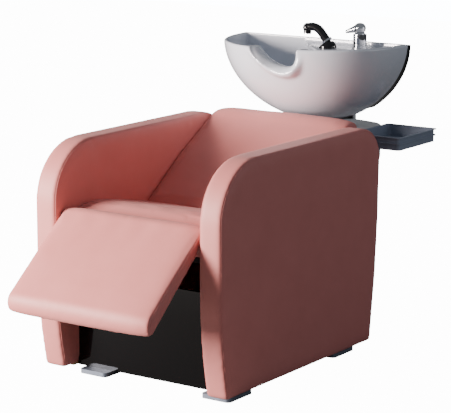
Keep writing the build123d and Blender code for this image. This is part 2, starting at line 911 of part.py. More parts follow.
def housing_outline(inset):
    """The housing's side view, moved inwards by inset all round."""
    run = housing_rear_y - housing_heel_y
    rise = housing_heel_z - housing_bottom
    length = math.hypot(run, rise)
    low = inset * (length - run) / rise
    high = inset * (length - rise) / run
    return Polyline(
        (housing_front_y + inset, housing_bottom + inset),
        (housing_heel_y - low, housing_bottom + inset),
        (housing_rear_y - inset, housing_heel_z + high),
        (housing_rear_y - inset, housing_top + housing_crown - inset),
        (housing_front_y + inset, housing_top + housing_crown - inset),
        close=True,
    )


def above_crown(inset):
    """What lies over the housing's crowned top."""
    half = housing_half_width + cut_overrun
    low = housing_top - inset
    high = housing_top + housing_crown - inset
    edges = [
        ThreePointArc((-half, low), (0, high), (half, low)),
        Polyline((half, low), (half, high + half), (-half, high + half), (-half, low)),
    ]
    face = Plane.XZ * make_face(edges)
    return Pos(0, housing_rear_y + cut_overrun, 0) * extrude(
        face, housing_rear_y - housing_front_y + cut_overrun * 2
    )


def housing_body(inset):
    """The housing as a full solid, moved inwards by inset."""
    half = housing_half_width - inset
    body = along_x(housing_outline(inset), -half, half) - above_crown(inset)
    uprights = body.edges().filter_by(Axis.Z).group_by(Axis.Y)[-1]
    return fillet(uprights, housing_corner_radius - inset)


def boss_spots():
    """Where the housing's screw bosses stand, in plan."""
    side = housing_half_width - housing_wall - boss_inset
    front = housing_front_y + housing_wall + boss_inset
    rear = housing_heel_y - housing_wall - boss_inset * 2
    return [(sign * side, y) for sign in (-1, 1) for y in (front, rear)]


def housing_screw_places():
    """Screws driven up through the bottom cover into the bosses."""
    return [facing_down(x, y, housing_bottom - cover_plate) for x, y in boss_spots()]


def housing():
    """The plastic housing: a shell with a crowned top, a bottom cover and two stays inside."""
    body = housing_body(0.0)
    top_face = body.faces().sort_by(Axis.Z)[-1]
    shell = fillet(top_face.edges(), housing_edge_radius) - housing_body(housing_wall)
    inner_half = housing_half_width - housing_wall
    heel = housing_heel_y - housing_wall * 2
    shell = shell - block(
        -inner_half,
        inner_half,
        housing_front_y + housing_wall,
        heel,
        housing_bottom - cut_overrun,
        housing_bottom + housing_wall,
    )
    neck_hole = neck_radius - neck_spigot + hole_gap
    shell = shell - rod_z(neck_hole, 0, neck_y, housing_top - cut_overrun * 2, neck_top)
    for sign in (-1, 1):
        x = sign * post_spacing / 2
        shell = shell - block(
            x - rail / 2 - beam_slot_gap,
            x + rail / 2 + beam_slot_gap,
            housing_front_y - cut_overrun,
            housing_front_y + housing_wall + cut_overrun,
            beam_bottom - beam_slot_gap,
            beam_bottom + rail + beam_slot_gap,
        )
    for x, y in boss_spots():
        boss = rod_z(boss_radius, x, y, housing_bottom, housing_bottom + boss_height)
        web = block(
            min(x, math.copysign(inner_half + housing_wall / 2, x)),
            max(x, math.copysign(inner_half + housing_wall / 2, x)),
            y - housing_wall / 2,
            y + housing_wall / 2,
            housing_bottom,
            housing_bottom + boss_height,
        )
        shell = shell + boss + web
    shell = drilled(shell, housing_screw_places())
    shell = drilled(shell, tray_screw_places())
    cover = block(
        -housing_half_width + cover_margin,
        housing_half_width - cover_margin,
        housing_front_y + cover_margin,
        heel - cover_margin,
        housing_bottom - cover_plate,
        housing_bottom,
    )
    cover = drilled(cover, housing_screw_places())
    cover = cover - rod_z(
        yoke_hole_radius, drain_x, drain_y, housing_bottom - cover_plate * 2, housing_bottom + cover_plate
    )
    stays = []
    beam_top = beam_bottom + rail
    for sign in (-1, 1):
        x = sign * post_spacing / 2
        half = stay_size / 2
        stay = block(x - half, x + half, stay_y - half, stay_y + half, beam_top, neck_top)
        hollow = half - stay_wall
        bore_foot = beam_top - cut_overrun
        stay = stay - block(x - hollow, x + hollow, stay_y - hollow, stay_y + hollow, bore_foot, neck_top)
        stay = stay & housing_body(housing_wall)
        stays.append(stay)
    return {
        "housing_shell": shell,
        "housing_bottom_cover": cover,
        "housing_stays": Compound(stays),
    }


def share_curve(share, power):
    """How much of its width the hull keeps at a share of its depth."""
    return max(0.0, 1.0 - share**power) ** (1.0 / power)


def hull_section(half, reach, back_y, z):
    """One level section of the bowl: a superellipse front and a straight back."""
    points = []
    for step in range(bowl_section_steps + 1):
        angle = math.pi * step / bowl_section_steps
        across = math.copysign(abs(math.cos(angle)) ** (2 / plan_power), math.cos(angle)) * half
        forward = abs(math.sin(angle)) ** (2 / plan_power) * reach
        points.append((across, back_y - (forward if 0 < step < bowl_section_steps else 0.0)))
    return Pos(0, 0, z) * make_face([Spline(*points), Line(points[-1], points[0])])


def hull(inset, top, bottom):
    """The bowl's boat-shaped body between two heights, moved inwards by inset."""
    depth = bowl_depth - inset
    sections = []
    for share in bowl_section_shares:
        z = top - (top - bottom) * share
        sunk = max(0.0, (rim_z - z) / depth)
        side = share_curve(sunk, side_power)
        front = share_curve(sunk, front_power)
        sections.append(
            hull_section(
                (bowl_half_width - inset) * side,
                (bowl_reach - inset * 2) * front,
                bowl_back_y - inset,
                z,
            )
        )
    return loft(sections)


def recess_line(share):
    """Points along the recess's edge, drawn in towards its top middle by a share."""
    points = []
    for x_share, z_share in zip(recess_x_shares, recess_z_shares):
        points.append((x_share * recess_half_width * share, rim_z - z_share * recess_drop * share))
    return points


def recess_cut():
    """The opening for the neck, through the bowl's front wall."""
    points = recess_line(recess_cut_share)
    over = rim_z + recess_drop
    edges = [
        Spline(*points),
        Polyline(points[-1], (points[-1][0], over), (points[0][0], over), points[0]),
    ]
    face = Plane.XZ * make_face(edges)
    return Pos(0, lip_y + recess_reach / 2, 0) * extrude(face, recess_reach)


def rolled_lip():
    """The thick round lip that follows the recess's edge."""
    points = [(x, lip_y, z) for x, z in recess_line(1.0)]
    path = Spline(*points)
    section = Plane(origin=path @ 0, x_dir=(0, 1, 0), z_dir=path % 0) * Ellipse(lip_depth_radius, lip_radius)
    lip = sweep(section, path=path)
    wide = recess_half_width * 2
    top = rim_z - lip_top_gap
    return lip - block(-wide, wide, lip_y - recess_reach, lip_y + recess_reach, top, rim_z + recess_drop)


def deck_block(margin, z_low, z_high):
    """The corner behind a leaning wall where the taps stand, moved back by margin."""
    faces = []
    for z in (z_low, z_high):
        shift = margin + (rim_z - z) * deck_wall_lean
        far = bowl_half_width + shift + cut_overrun
        back = bowl_back_y + cut_overrun
        plan = Polyline(
            (deck_left_x + shift, back),
            (deck_bend_x + shift, deck_bend_y),
            (far, deck_side_y),
            (far, back),
            close=True,
        )
        faces.append(Pos(0, 0, z) * make_face(plan))
    return loft(faces, ruled=True)


def bowl():
    """The ceramic bowl: hull, basin, tap deck with a hollow under it, neck recess and waste hole."""
    outer = hull(0.0, rim_z, bowl_flat_z)
    outer = fillet(outer.edges().group_by(Axis.Z)[-1], rim_radius)
    inside = hull(bowl_wall, rim_z + cut_overrun, drain_z)
    basin = inside - deck_block(0.0, drain_z - cut_overrun, rim_z + cut_overrun * 2)
    over_deck = inside & deck_block(-cut_overrun, deck_z, rim_z + cut_overrun * 2)
    under_deck = inside & deck_block(deck_wall_width, drain_z + deck_thickness, deck_z - deck_thickness)
    mouth_front = bowl_back_y - bowl_wall * 2
    mouth_rear = bowl_back_y + cut_overrun
    mouth = block(mouth_left_x, mouth_right_x, mouth_front, mouth_rear, mouth_bottom, mouth_top)
    solid = outer - basin - over_deck - under_deck - mouth - recess_cut() + rolled_lip()
    solid = solid - rod_z(drain_radius + hole_gap, drain_x, drain_y, bowl_flat_z - cut_overrun, rim_z)
    for x, y in ((mixer_x, mixer_y), (holder_x, holder_y)):
        solid = solid - rod_z(shank_radius + hole_gap, x, y, deck_z - deck_thickness * 2, rim_z)
    return {"bowl": solid}


def back_cover_solid(inset):
    """The back cover as a full solid: the outline of the bowl's back, deeper towards its foot."""
    points = []
    top = back_cover_top - inset
    bottom = back_cover_bottom + inset
    for step in range(bowl_section_steps + 1):
        z = top - (top - bottom) * step / bowl_section_steps
        sunk = (rim_z - z) / bowl_depth
        points.append((bowl_half_width * share_curve(sunk, side_power) - back_cover_inset - inset, z))
    mirrored = [(-x, z) for x, z in reversed(points)]
    edges = [
        Spline(*points),
        Line(points[-1], mirrored[0]),
        Spline(*mirrored),
        Line(mirrored[-1], points[0]),
    ]
    deep = back_cover_depth_bottom + cut_overrun
    face = Plane.XZ * make_face(edges)
    solid = Pos(0, bowl_back_y + deep, 0) * extrude(face, deep)
    rear_top = bowl_back_y + back_cover_depth_top - inset
    rear_bottom = bowl_back_y + back_cover_depth_bottom - inset
    waste = Polyline(
        (rear_top, rim_z + cut_overrun),
        (rear_bottom, back_cover_bottom - cut_overrun),
        (rear_bottom + deep, back_cover_bottom - cut_overrun),
        (rear_bottom + deep, rim_z + cut_overrun),
        close=True,
    )
    wide = bowl_half_width + cut_overrun
    return solid - along_x(waste, -wide, wide)


def back_cover():
    """The black cover on the bowl's back, hollow, with a rim that rests on the ceramic."""
    return {"bowl_back_cover": back_cover_solid(0.0) - back_cover_solid(back_cover_wall)}


def swept_bowl():
    """The room that the bowl's foot takes as it tilts, with a gap round it."""
    room = hull(-neck_gap, rim_z - cut_overrun, bowl_flat_z - neck_gap)
    room = room + Pos(0, 0, -neck_gap) * back_cover_solid(-neck_gap / 2)
    swept = None
    top = tilt_limit + tilt_spare
    for angle in (-top, -top / 2, 0.0, top / 2, top):
        turned = Pos(0, tilt_y, tilt_z) * Rot(angle, 0, 0) * Pos(0, -tilt_y, -tilt_z) * room
        swept = turned if swept is None else swept + turned
    return swept


def neck():
    """The round neck that stands on the housing and lets the bowl's foot sink in."""
    tube = rod_z(neck_radius, 0, neck_y, housing_top - cut_overrun, neck_top) - housing_body(0.0)
    inner = neck_radius - neck_wall
    tube = tube - rod_z(inner, 0, neck_y, housing_top - cut_overrun * 2, neck_top - neck_wall)
    spigot = neck_radius - neck_spigot
    collar = rod_z(spigot, 0, neck_y, housing_top - neck_spigot_drop, housing_top + housing_crown * 2)
    collar = collar - rod_z(spigot - neck_wall, 0, neck_y, housing_top - neck_spigot_drop * 2, neck_top)
    step = rod_z(inner + neck_wall / 2, 0, neck_y, housing_top + housing_crown, housing_top + housing_crown * 2)
    step = step - rod_z(spigot - neck_wall, 0, neck_y, housing_top, neck_top)
    return {"neck": tube + collar + step - swept_bowl()}


def tilt_pivot():
    """Yoke on the beams, bracket under the bowl, two pins and the friction discs between them."""
    beam_top = beam_bottom + rail
    yoke_top = beam_top + yoke_thickness
    yoke = block(-yoke_half_width, yoke_half_width, yoke_front_y, beam_end_y, beam_top, yoke_top)
    yoke = yoke - rod_z(yoke_hole_radius, drain_x, drain_y, beam_top - cut_overrun, yoke_top + cut_overrun)
    plate_top = bowl_flat_z
    plate_bottom = plate_top - bracket_plate_thickness
    bracket = block(
        -bracket_plate_half_width,
        bracket_plate_half_width,
        bracket_plate_front_y,
        bracket_plate_rear_y,
        plate_bottom,
        plate_top,
    )
    bracket = bracket & rod_z(bracket_plate_round, 0, neck_y, plate_bottom, plate_top)
    hole_foot = plate_bottom - cut_overrun
    bracket = bracket - rod_z(bracket_hole_radius, drain_x, drain_y, hole_foot, plate_top + cut_overrun)
    pins = []
    discs = []
    for sign in (-1, 1):
        lug_low = sign * lug_x
        lug_high = sign * (lug_x + lug_thickness)
        disc_low = lug_high + sign * hole_gap
        disc_high = disc_low + sign * disc_thickness
        ear_low = disc_high
        ear_high = ear_low + sign * ear_thickness
        head_high = ear_high + sign * tilt_head_thickness
        lug = rod_x(lug_radius, min(lug_low, lug_high), max(lug_low, lug_high), tilt_y, tilt_z)
        lug = lug + block(
            min(lug_low, lug_high),
            max(lug_low, lug_high),
            tilt_y - lug_radius,
            tilt_y + lug_radius,
            tilt_z,
            plate_bottom,
        )
        bracket = bracket + lug
        bracket = bracket - rod_x(
            tilt_pin_radius + running_gap,
            min(lug_low, lug_high) - cut_overrun,
            max(lug_low, lug_high) + cut_overrun,
            tilt_y,
            tilt_z,
        )
        ear = rod_x(ear_radius, min(ear_low, ear_high), max(ear_low, ear_high), tilt_y, tilt_z)
        ear = ear + block(
            min(ear_low, ear_high),
            max(ear_low, ear_high),
            tilt_y - ear_radius,
            tilt_y + ear_radius,
            beam_top,
            tilt_z,
        )
        yoke = yoke + ear
        pin = rod_x(tilt_pin_radius, min(lug_low, ear_high), max(lug_low, ear_high), tilt_y, tilt_z)
        head = rod_x(tilt_head_radius, min(ear_high, head_high), max(ear_high, head_high), tilt_y, tilt_z)
        pins.append(pin + head)
        disc_left = min(disc_low, disc_high)
        disc_right = max(disc_low, disc_high)
        disc = rod_x(disc_radius, disc_left, disc_right, tilt_y, tilt_z)
        disc = disc - rod_x(
            tilt_pin_radius,
            disc_left - cut_overrun,
            disc_right + cut_overrun,
            tilt_y,
            tilt_z,
        )
        discs.append(disc)
    for pin in pins:
        yoke = yoke - pin
    return {
        "tilt_yoke": yoke,
        "tilt_bracket": bracket,
        "tilt_pins": Compound(pins),
        "tilt_friction_discs": Compound(discs),
    }


def waste():
    """The bowl's waste: flange and tail, the nut below, and the strainer that lifts out."""
    flange_top = drain_z + drain_flange_thickness
    tail_end = drain_z - tail_length
    outlet = rod_z(drain_flange_radius, drain_x, drain_y, drain_z, flange_top)
    outlet = outlet + rod_z(drain_radius, drain_x, drain_y, tail_end, drain_z)
    bore_foot = tail_end - cut_overrun
    outlet = outlet - rod_z(drain_radius - drain_wall, drain_x, drain_y, bore_foot, flange_top + cut_overrun)
    nut_top = bowl_flat_z
    nut_foot = nut_top - drain_nut_thickness
    nut = rod_z(drain_nut_radius, drain_x, drain_y, nut_foot, nut_top)
    nut = nut - rod_z(drain_radius, drain_x, drain_y, nut_foot - cut_overrun, nut_top + cut_overrun)
    rim_top = flange_top + strainer_rim_thickness
    strainer = rod_z(strainer_rim_radius, drain_x, drain_y, flange_top, rim_top)
    strainer = strainer + rod_z(strainer_radius, drain_x, drain_y, flange_top - strainer_depth, flange_top)
    strainer = strainer - rod_z(
        strainer_radius - strainer_wall,
        drain_x,
        drain_y,
        flange_top - strainer_depth + strainer_wall,
        rim_top + cut_overrun,
    )
    for hole in range(strainer_holes):
        angle = 2 * math.pi * hole / strainer_holes
        x = drain_x + strainer_ring_radius * math.cos(angle)
        y = drain_y + strainer_ring_radius * math.sin(angle)
        strainer = strainer - rod_z(
            strainer_hole_radius, x, y, flange_top - strainer_depth - cut_overrun, flange_top
        )
    return {"drain_flange": outlet, "drain_nut": nut, "hair_strainer": strainer}


def mixer():
    """The single-lever mixer: base ring, body with a ball socket, cam ring, and ball with lever."""
    at = Pos(mixer_x, mixer_y, deck_z)
    ring = Pos(0, 0, mixer_ring_height / 2) * Cylinder(mixer_ring_radius, mixer_ring_height)
    ring = ring - Cylinder(shank_radius + hole_gap, mixer_ring_height * 4)
    body_height = mixer_body_top - mixer_ring_height
    body = Pos(0, 0, mixer_ring_height + body_height / 2) * Cylinder(mixer_radius, body_height)
    socket = Pos(0, 0, ball_height) * Sphere(ball_radius + running_gap)
    body = body - socket
    body = body + Pos(0, 0, mixer_ring_height - shank_length / 2) * Cylinder(shank_radius, shank_length)
    cam_low = mixer_body_top + hole_gap
    cam = Pos(0, 0, (cam_low + cam_ring_top) / 2) * Cylinder(mixer_radius, cam_ring_top - cam_low)
    cam = cam - socket
    across = Rot(0, 0, lever_turn) * Rot(90, 0, 0)
    pin = Pos(0, 0, ball_height) * across * Cylinder(lever_pin_radius, (mixer_radius - lever_pin_inset) * 2)
    pin_bore = Pos(0, 0, ball_height) * across * Cylinder(lever_pin_radius + running_gap, mixer_radius * 3)
    cam = cam - pin_bore
    profile = [
        Polyline(
            (0, cap_rim_height - cap_bore),
            (cap_bore, cap_rim_height),
            (cap_rim_radius, cap_rim_height),
        ),
        Line((cap_rim_radius, cap_rim_height), (cap_shoulder_radius, cap_shoulder_height)),
        ThreePointArc(
            (cap_shoulder_radius, cap_shoulder_height),
            (
                cap_shoulder_radius * math.sqrt(0.5),
                cap_shoulder_height + (cap_top_height - cap_shoulder_height) * math.sqrt(0.5),
            ),
            (0, cap_top_height),
        ),
        Line((0, cap_top_height), (0, cap_rim_height - cap_bore)),
    ]
    cap = revolve(Plane.XZ * make_face(profile), Axis.Z)
    root_place = Plane(origin=(lever_root_length, 0, lever_root_height), z_dir=(1, 0, 0))
    root = root_place * Circle(lever_root_radius)
    tip_middle = (lever_length, 0, lever_tip_height + lever_tip_radius)
    tip_place = Plane(origin=tip_middle, z_dir=(1, 0, -lever_tip_droop_share))
    tip = tip_place * Circle(lever_tip_radius)
    lever = Rot(0, 0, lever_turn) * loft([root, tip])
    ball = Pos(0, 0, ball_height) * Sphere(ball_radius) - pin_bore
    return {
        "mixer_base_ring": at * ring,
        "mixer_body": at * body,
        "mixer_cam_ring": at * cam,
        "mixer_lever_pin": at * pin,
        "mixer_lever": at * (ball + cap + lever),
    }


def handset_frame():
    """The place of the hand shower: origin where its stem meets the holder's ring, Z along the stem."""
    lean = Rot(0, 0, handset_turn) * Rot(0, handset_lean, 0)
    return Pos(holder_x, holder_y, deck_z + holder_height) * lean


def hand_shower():
    """The hand shower in its holder: dome, chrome ring, curved handle, spray housing and face."""
    frame_place = handset_frame()
    profile = [
        Line((0, 0), (holder_radius, 0)),
        ThreePointArc(
            (holder_radius, 0),
            (holder_radius * 0.93, holder_height * 0.55),
            (holder_top_radius, holder_height),
        ),
        Line((holder_top_radius, holder_height), (0, holder_height)),
        Line((0, holder_height), (0, 0)),
    ]
    dome = revolve(Plane.XZ * make_face(profile), Axis.Z)
    dome = Pos(holder_x, holder_y, deck_z) * dome
    shank = rod_z(shank_radius, holder_x, holder_y, deck_z - shank_length + mixer_ring_height, deck_z)
    bore = frame_place * Pos(0, 0, -bore_depth / 2 + holder_ring_length) * Cylinder(
        stem_radius + running_gap, bore_depth + holder_ring_length * 2
    )
    ring_place = frame_place * Pos(0, 0, holder_ring_length / 2)
    ring = ring_place * Cylinder(holder_ring_radius, holder_ring_length)
    ring = ring - bore
    holder = dome - frame_place * Pos(0, 0, holder_ring_length * 2) * Cylinder(
        holder_radius * 2, holder_ring_length * 4
    )
    holder = holder - bore + (shank - bore)
    start = holder_ring_length + touch_gap
    bend_start = start + handle_straight
    turn = math.radians(handle_bend)
    mid = turn / 2

    def on_bend(angle):
        side = handle_bend_radius * (1 - math.cos(angle))
        return (side, 0, bend_start + handle_bend_radius * math.sin(angle))

    path = Wire(
        [
            Line((0, 0, start), (0, 0, bend_start)).edge(),
            ThreePointArc(
                (0, 0, bend_start),
                on_bend(mid),
                on_bend(turn),
            ).edge(),
        ]
    )
    handle = sweep(Plane(origin=(0, 0, start), z_dir=(0, 0, 1)) * Circle(handle_radius), path=path)
    end = path @ 1
    head = Pos(end.X, end.Y, end.Z)
    handle = handle + head * Rot(90, 0, 0) * Sphere(head_radius)
    spray_at = head * Rot(0, 180.0 - handset_lean, 0)
    handle = handle + spray_at * Pos(0, 0, spray_housing_length / 2) * Cylinder(
        spray_housing_radius, spray_housing_length
    )
    face_place = spray_at * Pos(0, 0, spray_housing_length + spray_thickness / 2)
    face = face_place * Cylinder(spray_radius, spray_thickness)
    stem = Pos(0, 0, (start - stem_length) / 2) * Cylinder(stem_radius, stem_length + start)
    return {
        "handset_holder": holder,
        "handset_ring": ring,
        "handset_body": frame_place * (handle + stem),
        "handset_spray_face": frame_place * face,
    }


def deck_nuts():
    """The nuts that hold the mixer and the hand shower's holder from under the deck."""
    nuts = []
    top = deck_z - deck_thickness
    for x, y in ((mixer_x, mixer_y), (holder_x, holder_y)):
        nut = rod_z(deck_nut_radius, x, y, top - deck_nut_thickness, top)
        nut = nut - rod_z(shank_radius, x, y, top - deck_nut_thickness * 2, top + cut_overrun)
        nuts.append(nut)
    return {"deck_nuts": Compound(nuts)}


def tray_screw_places():
    """Two screws through the bracket into the housing's side."""
    places = []
    for sign in (-1, 1):
        y = tray_front_y + tray_length / 2 + sign * bracket_length / 3
        places.append(
            Pos(housing_half_width + bracket_thickness, y, tray_bottom - bracket_drop / 2) * Rot(0, 90, 0)
        )
    return places


def tray():
    """The open tray with an outward flange and a rib, and its bracket on the housing."""
    x_low = tray_left_x
    x_high = tray_left_x + tray_width
    y_low = tray_front_y
    y_high = tray_front_y + tray_length
    top = tray_bottom + tray_height
    inner = tray_flange

    def ring(reach, z_low, z_high):
        plan = RectangleRounded(
            tray_width - inner + reach * 2 - tray_flange,
            tray_length - tray_flange * 2 + reach * 2,
            tray_corner_radius,
        )
        centre = Pos((x_low + x_high - tray_flange + inner) / 2, (y_low + y_high) / 2, z_low)
        return centre * extrude(plan, z_high - z_low)

    body = ring(0.0, tray_bottom, top)
    body = body + ring(tray_flange, top - tray_flange_thickness, top)
    body = body + ring(tray_rib, tray_bottom + tray_rib_z, tray_bottom + tray_rib_z + tray_rib_thickness)
    hollow = ring(-tray_wall, tray_bottom + tray_wall, top + cut_overrun)
    body = body - hollow
    y_mid = (y_low + y_high) / 2
    plate = block(
        housing_half_width,
        housing_half_width + bracket_reach,
        y_mid - bracket_length / 2,
        y_mid + bracket_length / 2,
        tray_bottom - bracket_thickness,
        tray_bottom,
    )
    leg = block(
        housing_half_width,
        housing_half_width + bracket_thickness,
        y_mid - bracket_length / 2,
        y_mid + bracket_length / 2,
        tray_bottom - bracket_drop,
        tray_bottom,
    )
    bracket = drilled(plate + leg, tray_screw_places())
    return {"tray": body, "tray_bracket": bracket}


def pipe_end(x, z, radius, bore, length, flange):
    """A pipe end that stands out of the rear panel, with a flange on it."""
    face_y = frame_rear_y + touch_gap + panel_thickness
    turn = Rot(-90, 0, 0)
    pipe = Pos(x, face_y + length / 2, z) * turn * Cylinder(radius, length)
    plate = Pos(x, face_y + inlet_flange_thickness / 2, z) * turn * Cylinder(flange, inlet_flange_thickness)
    hollow = Pos(x, face_y + length / 2, z) * turn * Cylinder(bore, length + cut_overrun)
    return pipe + plate - hollow


def pipe_ends():
    """Hot and cold water inlets, and the waste outlet."""
    inlets = [
        pipe_end(
            sign * inlet_spacing / 2,
            inlet_z,
            inlet_radius,
            inlet_bore,
            inlet_length,
            inlet_flange_radius,
        )
        for sign in (-1, 1)
    ]
    outlet = pipe_end(0.0, waste_z, waste_radius, waste_bore, waste_length, waste_flange_radius)
    return {"water_inlets": Compound(inlets), "waste_outlet": outlet}


def fix(pieces):
    """Drills the pieces that screws and bolts pass through, and adds the screws and bolts."""
    long_screw = screw_length + flange_thickness
    groups = (
        (seat_screw_places(), screw_length / 2, ("seat_rails", "seat_board")),
        (kick_screw_places(), rail_wall + panel_thickness * 0.7, ("posts", "kick_panel")),
        (rear_screw_places(), screw_length, ("rear_panel", "posts")),
        (foot_screw_places(), screw_length, ("feet", "floor_rails", "cross_rails", "arm_core_right")),
        (
            pivot_screw_places(-1) + pivot_screw_places(1),
            long_screw,
            ("arm_cover_left", "arm_cover_right", "arm_core_left", "arm_core_right"),
        ),
        (housing_screw_places(), screw_length, ()),
        (tray_screw_places(), screw_length / 2, ()),
    )
    screws = []
    for places, length, through in groups:
        screws = screws + [screw(place, length) for place in places]
        for name in through:
            pieces[name] = drilled(pieces[name], places, length)
    for place in foot_screw_places():
        pieces["feet"] = pieces["feet"] - place * Pos(0, 0, screw_head_height) * Cylinder(
            screw_diameter + hole_gap, screw_head_height * 2
        )
    bolt_length = rail + touch_gap + arm_wadding + bolt_bite
    places = arm_bolt_places()
    bolts = [screw(place, bolt_length, bolt_diameter, bolt_head_height) for place in places]
    bolted = [
        "floor_rails",
        "seat_rails",
        "arm_cover_left",
        "arm_cover_right",
        "arm_core_left",
        "arm_core_right",
    ]
    for name in bolted:
        pieces[name] = drilled(pieces[name], places, bolt_length, bolt_diameter)
    pieces["screws"] = Compound(screws)
    pieces["arm_bolts"] = Compound(bolts)


pieces = {}
for group in (
    arm_pair,
    seat,
    backrest,
    footrest,
    footrest_pivots,
    frame,
    column,
    panels,
    feet,
    housing,
    neck,
    bowl,
    back_cover,
    tilt_pivot,
    waste,
    mixer,
    hand_shower,
    deck_nuts,
    tray,
    pipe_ends,
):
    pieces.update(group())
fix(pieces)

bodies = {name: Compound(list(solid.solids())) for name, solid in pieces.items()}
whole = Compound(list(bodies.values())).bounding_box()
to_origin = Pos(-(whole.min.X + whole.max.X) / 2, -(whole.min.Y + whole.max.Y) / 2, -whole.min.Z)

os.makedirs("parts", exist_ok=True)
for name, body in bodies.items():
    export_step(to_origin * body, "parts/" + name + ".step")

print(len(pieces), "pieces, box", whole.size)
print("shift", to_origin.position)
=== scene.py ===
import math

import bmesh
import bpy
import numpy as np
from mathutils import Matrix, Vector
from mathutils.bvhtree import BVHTree


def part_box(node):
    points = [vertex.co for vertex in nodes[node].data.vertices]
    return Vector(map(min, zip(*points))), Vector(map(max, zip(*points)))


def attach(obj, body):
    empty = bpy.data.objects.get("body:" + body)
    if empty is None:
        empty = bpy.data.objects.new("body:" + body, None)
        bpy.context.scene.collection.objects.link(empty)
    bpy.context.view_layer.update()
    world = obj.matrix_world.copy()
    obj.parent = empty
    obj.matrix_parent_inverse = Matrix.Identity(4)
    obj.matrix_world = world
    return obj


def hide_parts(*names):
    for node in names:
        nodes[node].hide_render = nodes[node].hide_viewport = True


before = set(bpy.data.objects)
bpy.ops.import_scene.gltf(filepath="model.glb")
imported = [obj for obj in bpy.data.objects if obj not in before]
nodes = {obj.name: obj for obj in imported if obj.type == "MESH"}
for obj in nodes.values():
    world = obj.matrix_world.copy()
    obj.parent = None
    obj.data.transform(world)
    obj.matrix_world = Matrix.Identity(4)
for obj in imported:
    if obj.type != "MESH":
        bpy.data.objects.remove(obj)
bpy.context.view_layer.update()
scene = bpy.context.scene

# The steel frame is square tube and plate, cut and welded, then powder-coated satin black. It is all
# inside the chair and the housing, and shows only in the shadow under the footrest.


def colour(code):
    """An sRGB hex colour as linear red, green, blue and alpha."""
    parts = [int(code[i : i + 2], 16) / 255 for i in (1, 3, 5)]
    return [c / 12.92 if c <= 0.04045 else ((c + 0.055) / 1.055) ** 2.4 for c in parts] + [1.0]


def per_metre(millimetres):
    """The scale of a pattern whose marks are this many millimetres across."""
    return 1000.0 / millimetres


def add(tree, kind, inputs=(), **settings):
    """A new node of a tree, with its settings, and its inputs as values or other nodes' outputs."""
    node = tree.nodes.new(kind)
    for name, value in settings.items():
        setattr(node, name, value)
    for name, value in dict(inputs).items():
        if isinstance(value, bpy.types.NodeSocket):
            tree.links.new(value, node.inputs[name])
        else:
            node.inputs[name].default_value = value
    return node


def start(name):
    """A new material, its tree, its shader and the coordinates of the object it is on."""
    material = bpy.data.materials.new(name)
    material.use_nodes = True
    tree = material.node_tree
    place = add(tree, "ShaderNodeTexCoord").outputs["Object"]
    return material, tree, tree.nodes["Principled BSDF"], place


def dress(material, *names):
    """Gives a finish to pieces that keep their machined shape."""
    for name in names:
        nodes[name].material_slots[0].material = material


# Powder coat melts to a satin skin with an orange peel of about 1.5 mm, so lights on it are broad
# and slightly broken.
powder_coat, tree, shader, place = start("powder-coated steel")
peel = add(tree, "ShaderNodeTexNoise", {"Vector": place, "Scale": per_metre(1.54), "Detail": 2.0})
bumps = add(
    tree, "ShaderNodeBump", {"Height": peel.outputs["Fac"], "Strength": 0.25, "Distance": 0.0004}
)
tree.links.new(bumps.outputs["Normal"], shader.inputs["Normal"])
gloss = add(
    tree, "ShaderNodeMapRange", {"Value": peel.outputs["Fac"], "To Min": 0.38, "To Max": 0.5}
)
tree.links.new(gloss.outputs["Result"], shader.inputs["Roughness"])
shader.inputs["Base Color"].default_value = colour("#1C1C1F")
dress(
    powder_coat, "cross_rails", "floor_rails", "posts", "seat_rails", "column_uprights",
    "bowl_beams", "tilt_yoke", "tilt_bracket", "tray_bracket", "housing_stays",
)

# Birch plywood boards, sawn and screwed to the frame, stiffen the arms, the backrest and the
# footrest. The seat's board is coloured near black as painted shade, because its front edge can be
# seen under the footrest, where it lies in shadow.
FIBRE_WIDTH = 4.17
FIBRE_LENGTH = 55.6
fibre_scale = (per_metre(FIBRE_WIDTH), per_metre(FIBRE_LENGTH), per_metre(FIBRE_WIDTH))

# Bare birch is matt, with pale and brown fibres that run along the board.
birch, tree, shader, place = start("birch plywood")
along = add(tree, "ShaderNodeMapping", {"Vector": place, "Scale": fibre_scale})
fibres = add(
    tree, "ShaderNodeTexNoise", {"Vector": along.outputs["Vector"], "Scale": 1.0, "Detail": 6.0}
)
tone = add(
    tree, "ShaderNodeMix",
    {0: fibres.outputs["Fac"], 6: colour("#A9875A"), 7: colour("#D2B98D")}, data_type="RGBA",
)
tree.links.new(tone.outputs[2], shader.inputs["Base Color"])
grain = add(
    tree, "ShaderNodeBump", {"Height": fibres.outputs["Fac"], "Strength": 0.2, "Distance": 0.0004}
)
tree.links.new(grain.outputs["Normal"], shader.inputs["Normal"])
shader.inputs["Roughness"].default_value = 0.7
dress(birch, "arm_core_left", "arm_core_right", "back_board", "footrest_board")

# The seat board's near-black colour is painted shade, not a real stain. Only a trace of the fibres is
# left in it and nothing shines.
shade_plywood, tree, shader, place = start("near-black plywood as painted shade")
along = add(tree, "ShaderNodeMapping", {"Vector": place, "Scale": fibre_scale})
fibres = add(
    tree, "ShaderNodeTexNoise", {"Vector": along.outputs["Vector"], "Scale": 1.0, "Detail": 6.0}
)
tone = add(
    tree, "ShaderNodeMix",
    {0: fibres.outputs["Fac"], 6: colour("#0B0A0A"), 7: colour("#191614")}, data_type="RGBA",
)
tree.links.new(tone.outputs[2], shader.inputs["Base Color"])
shader.inputs["Roughness"].default_value = 0.75
# painted shade: the seat board's near-black colour stands in for the shadow under the footrest
dress(shade_plywood, "seat_board")

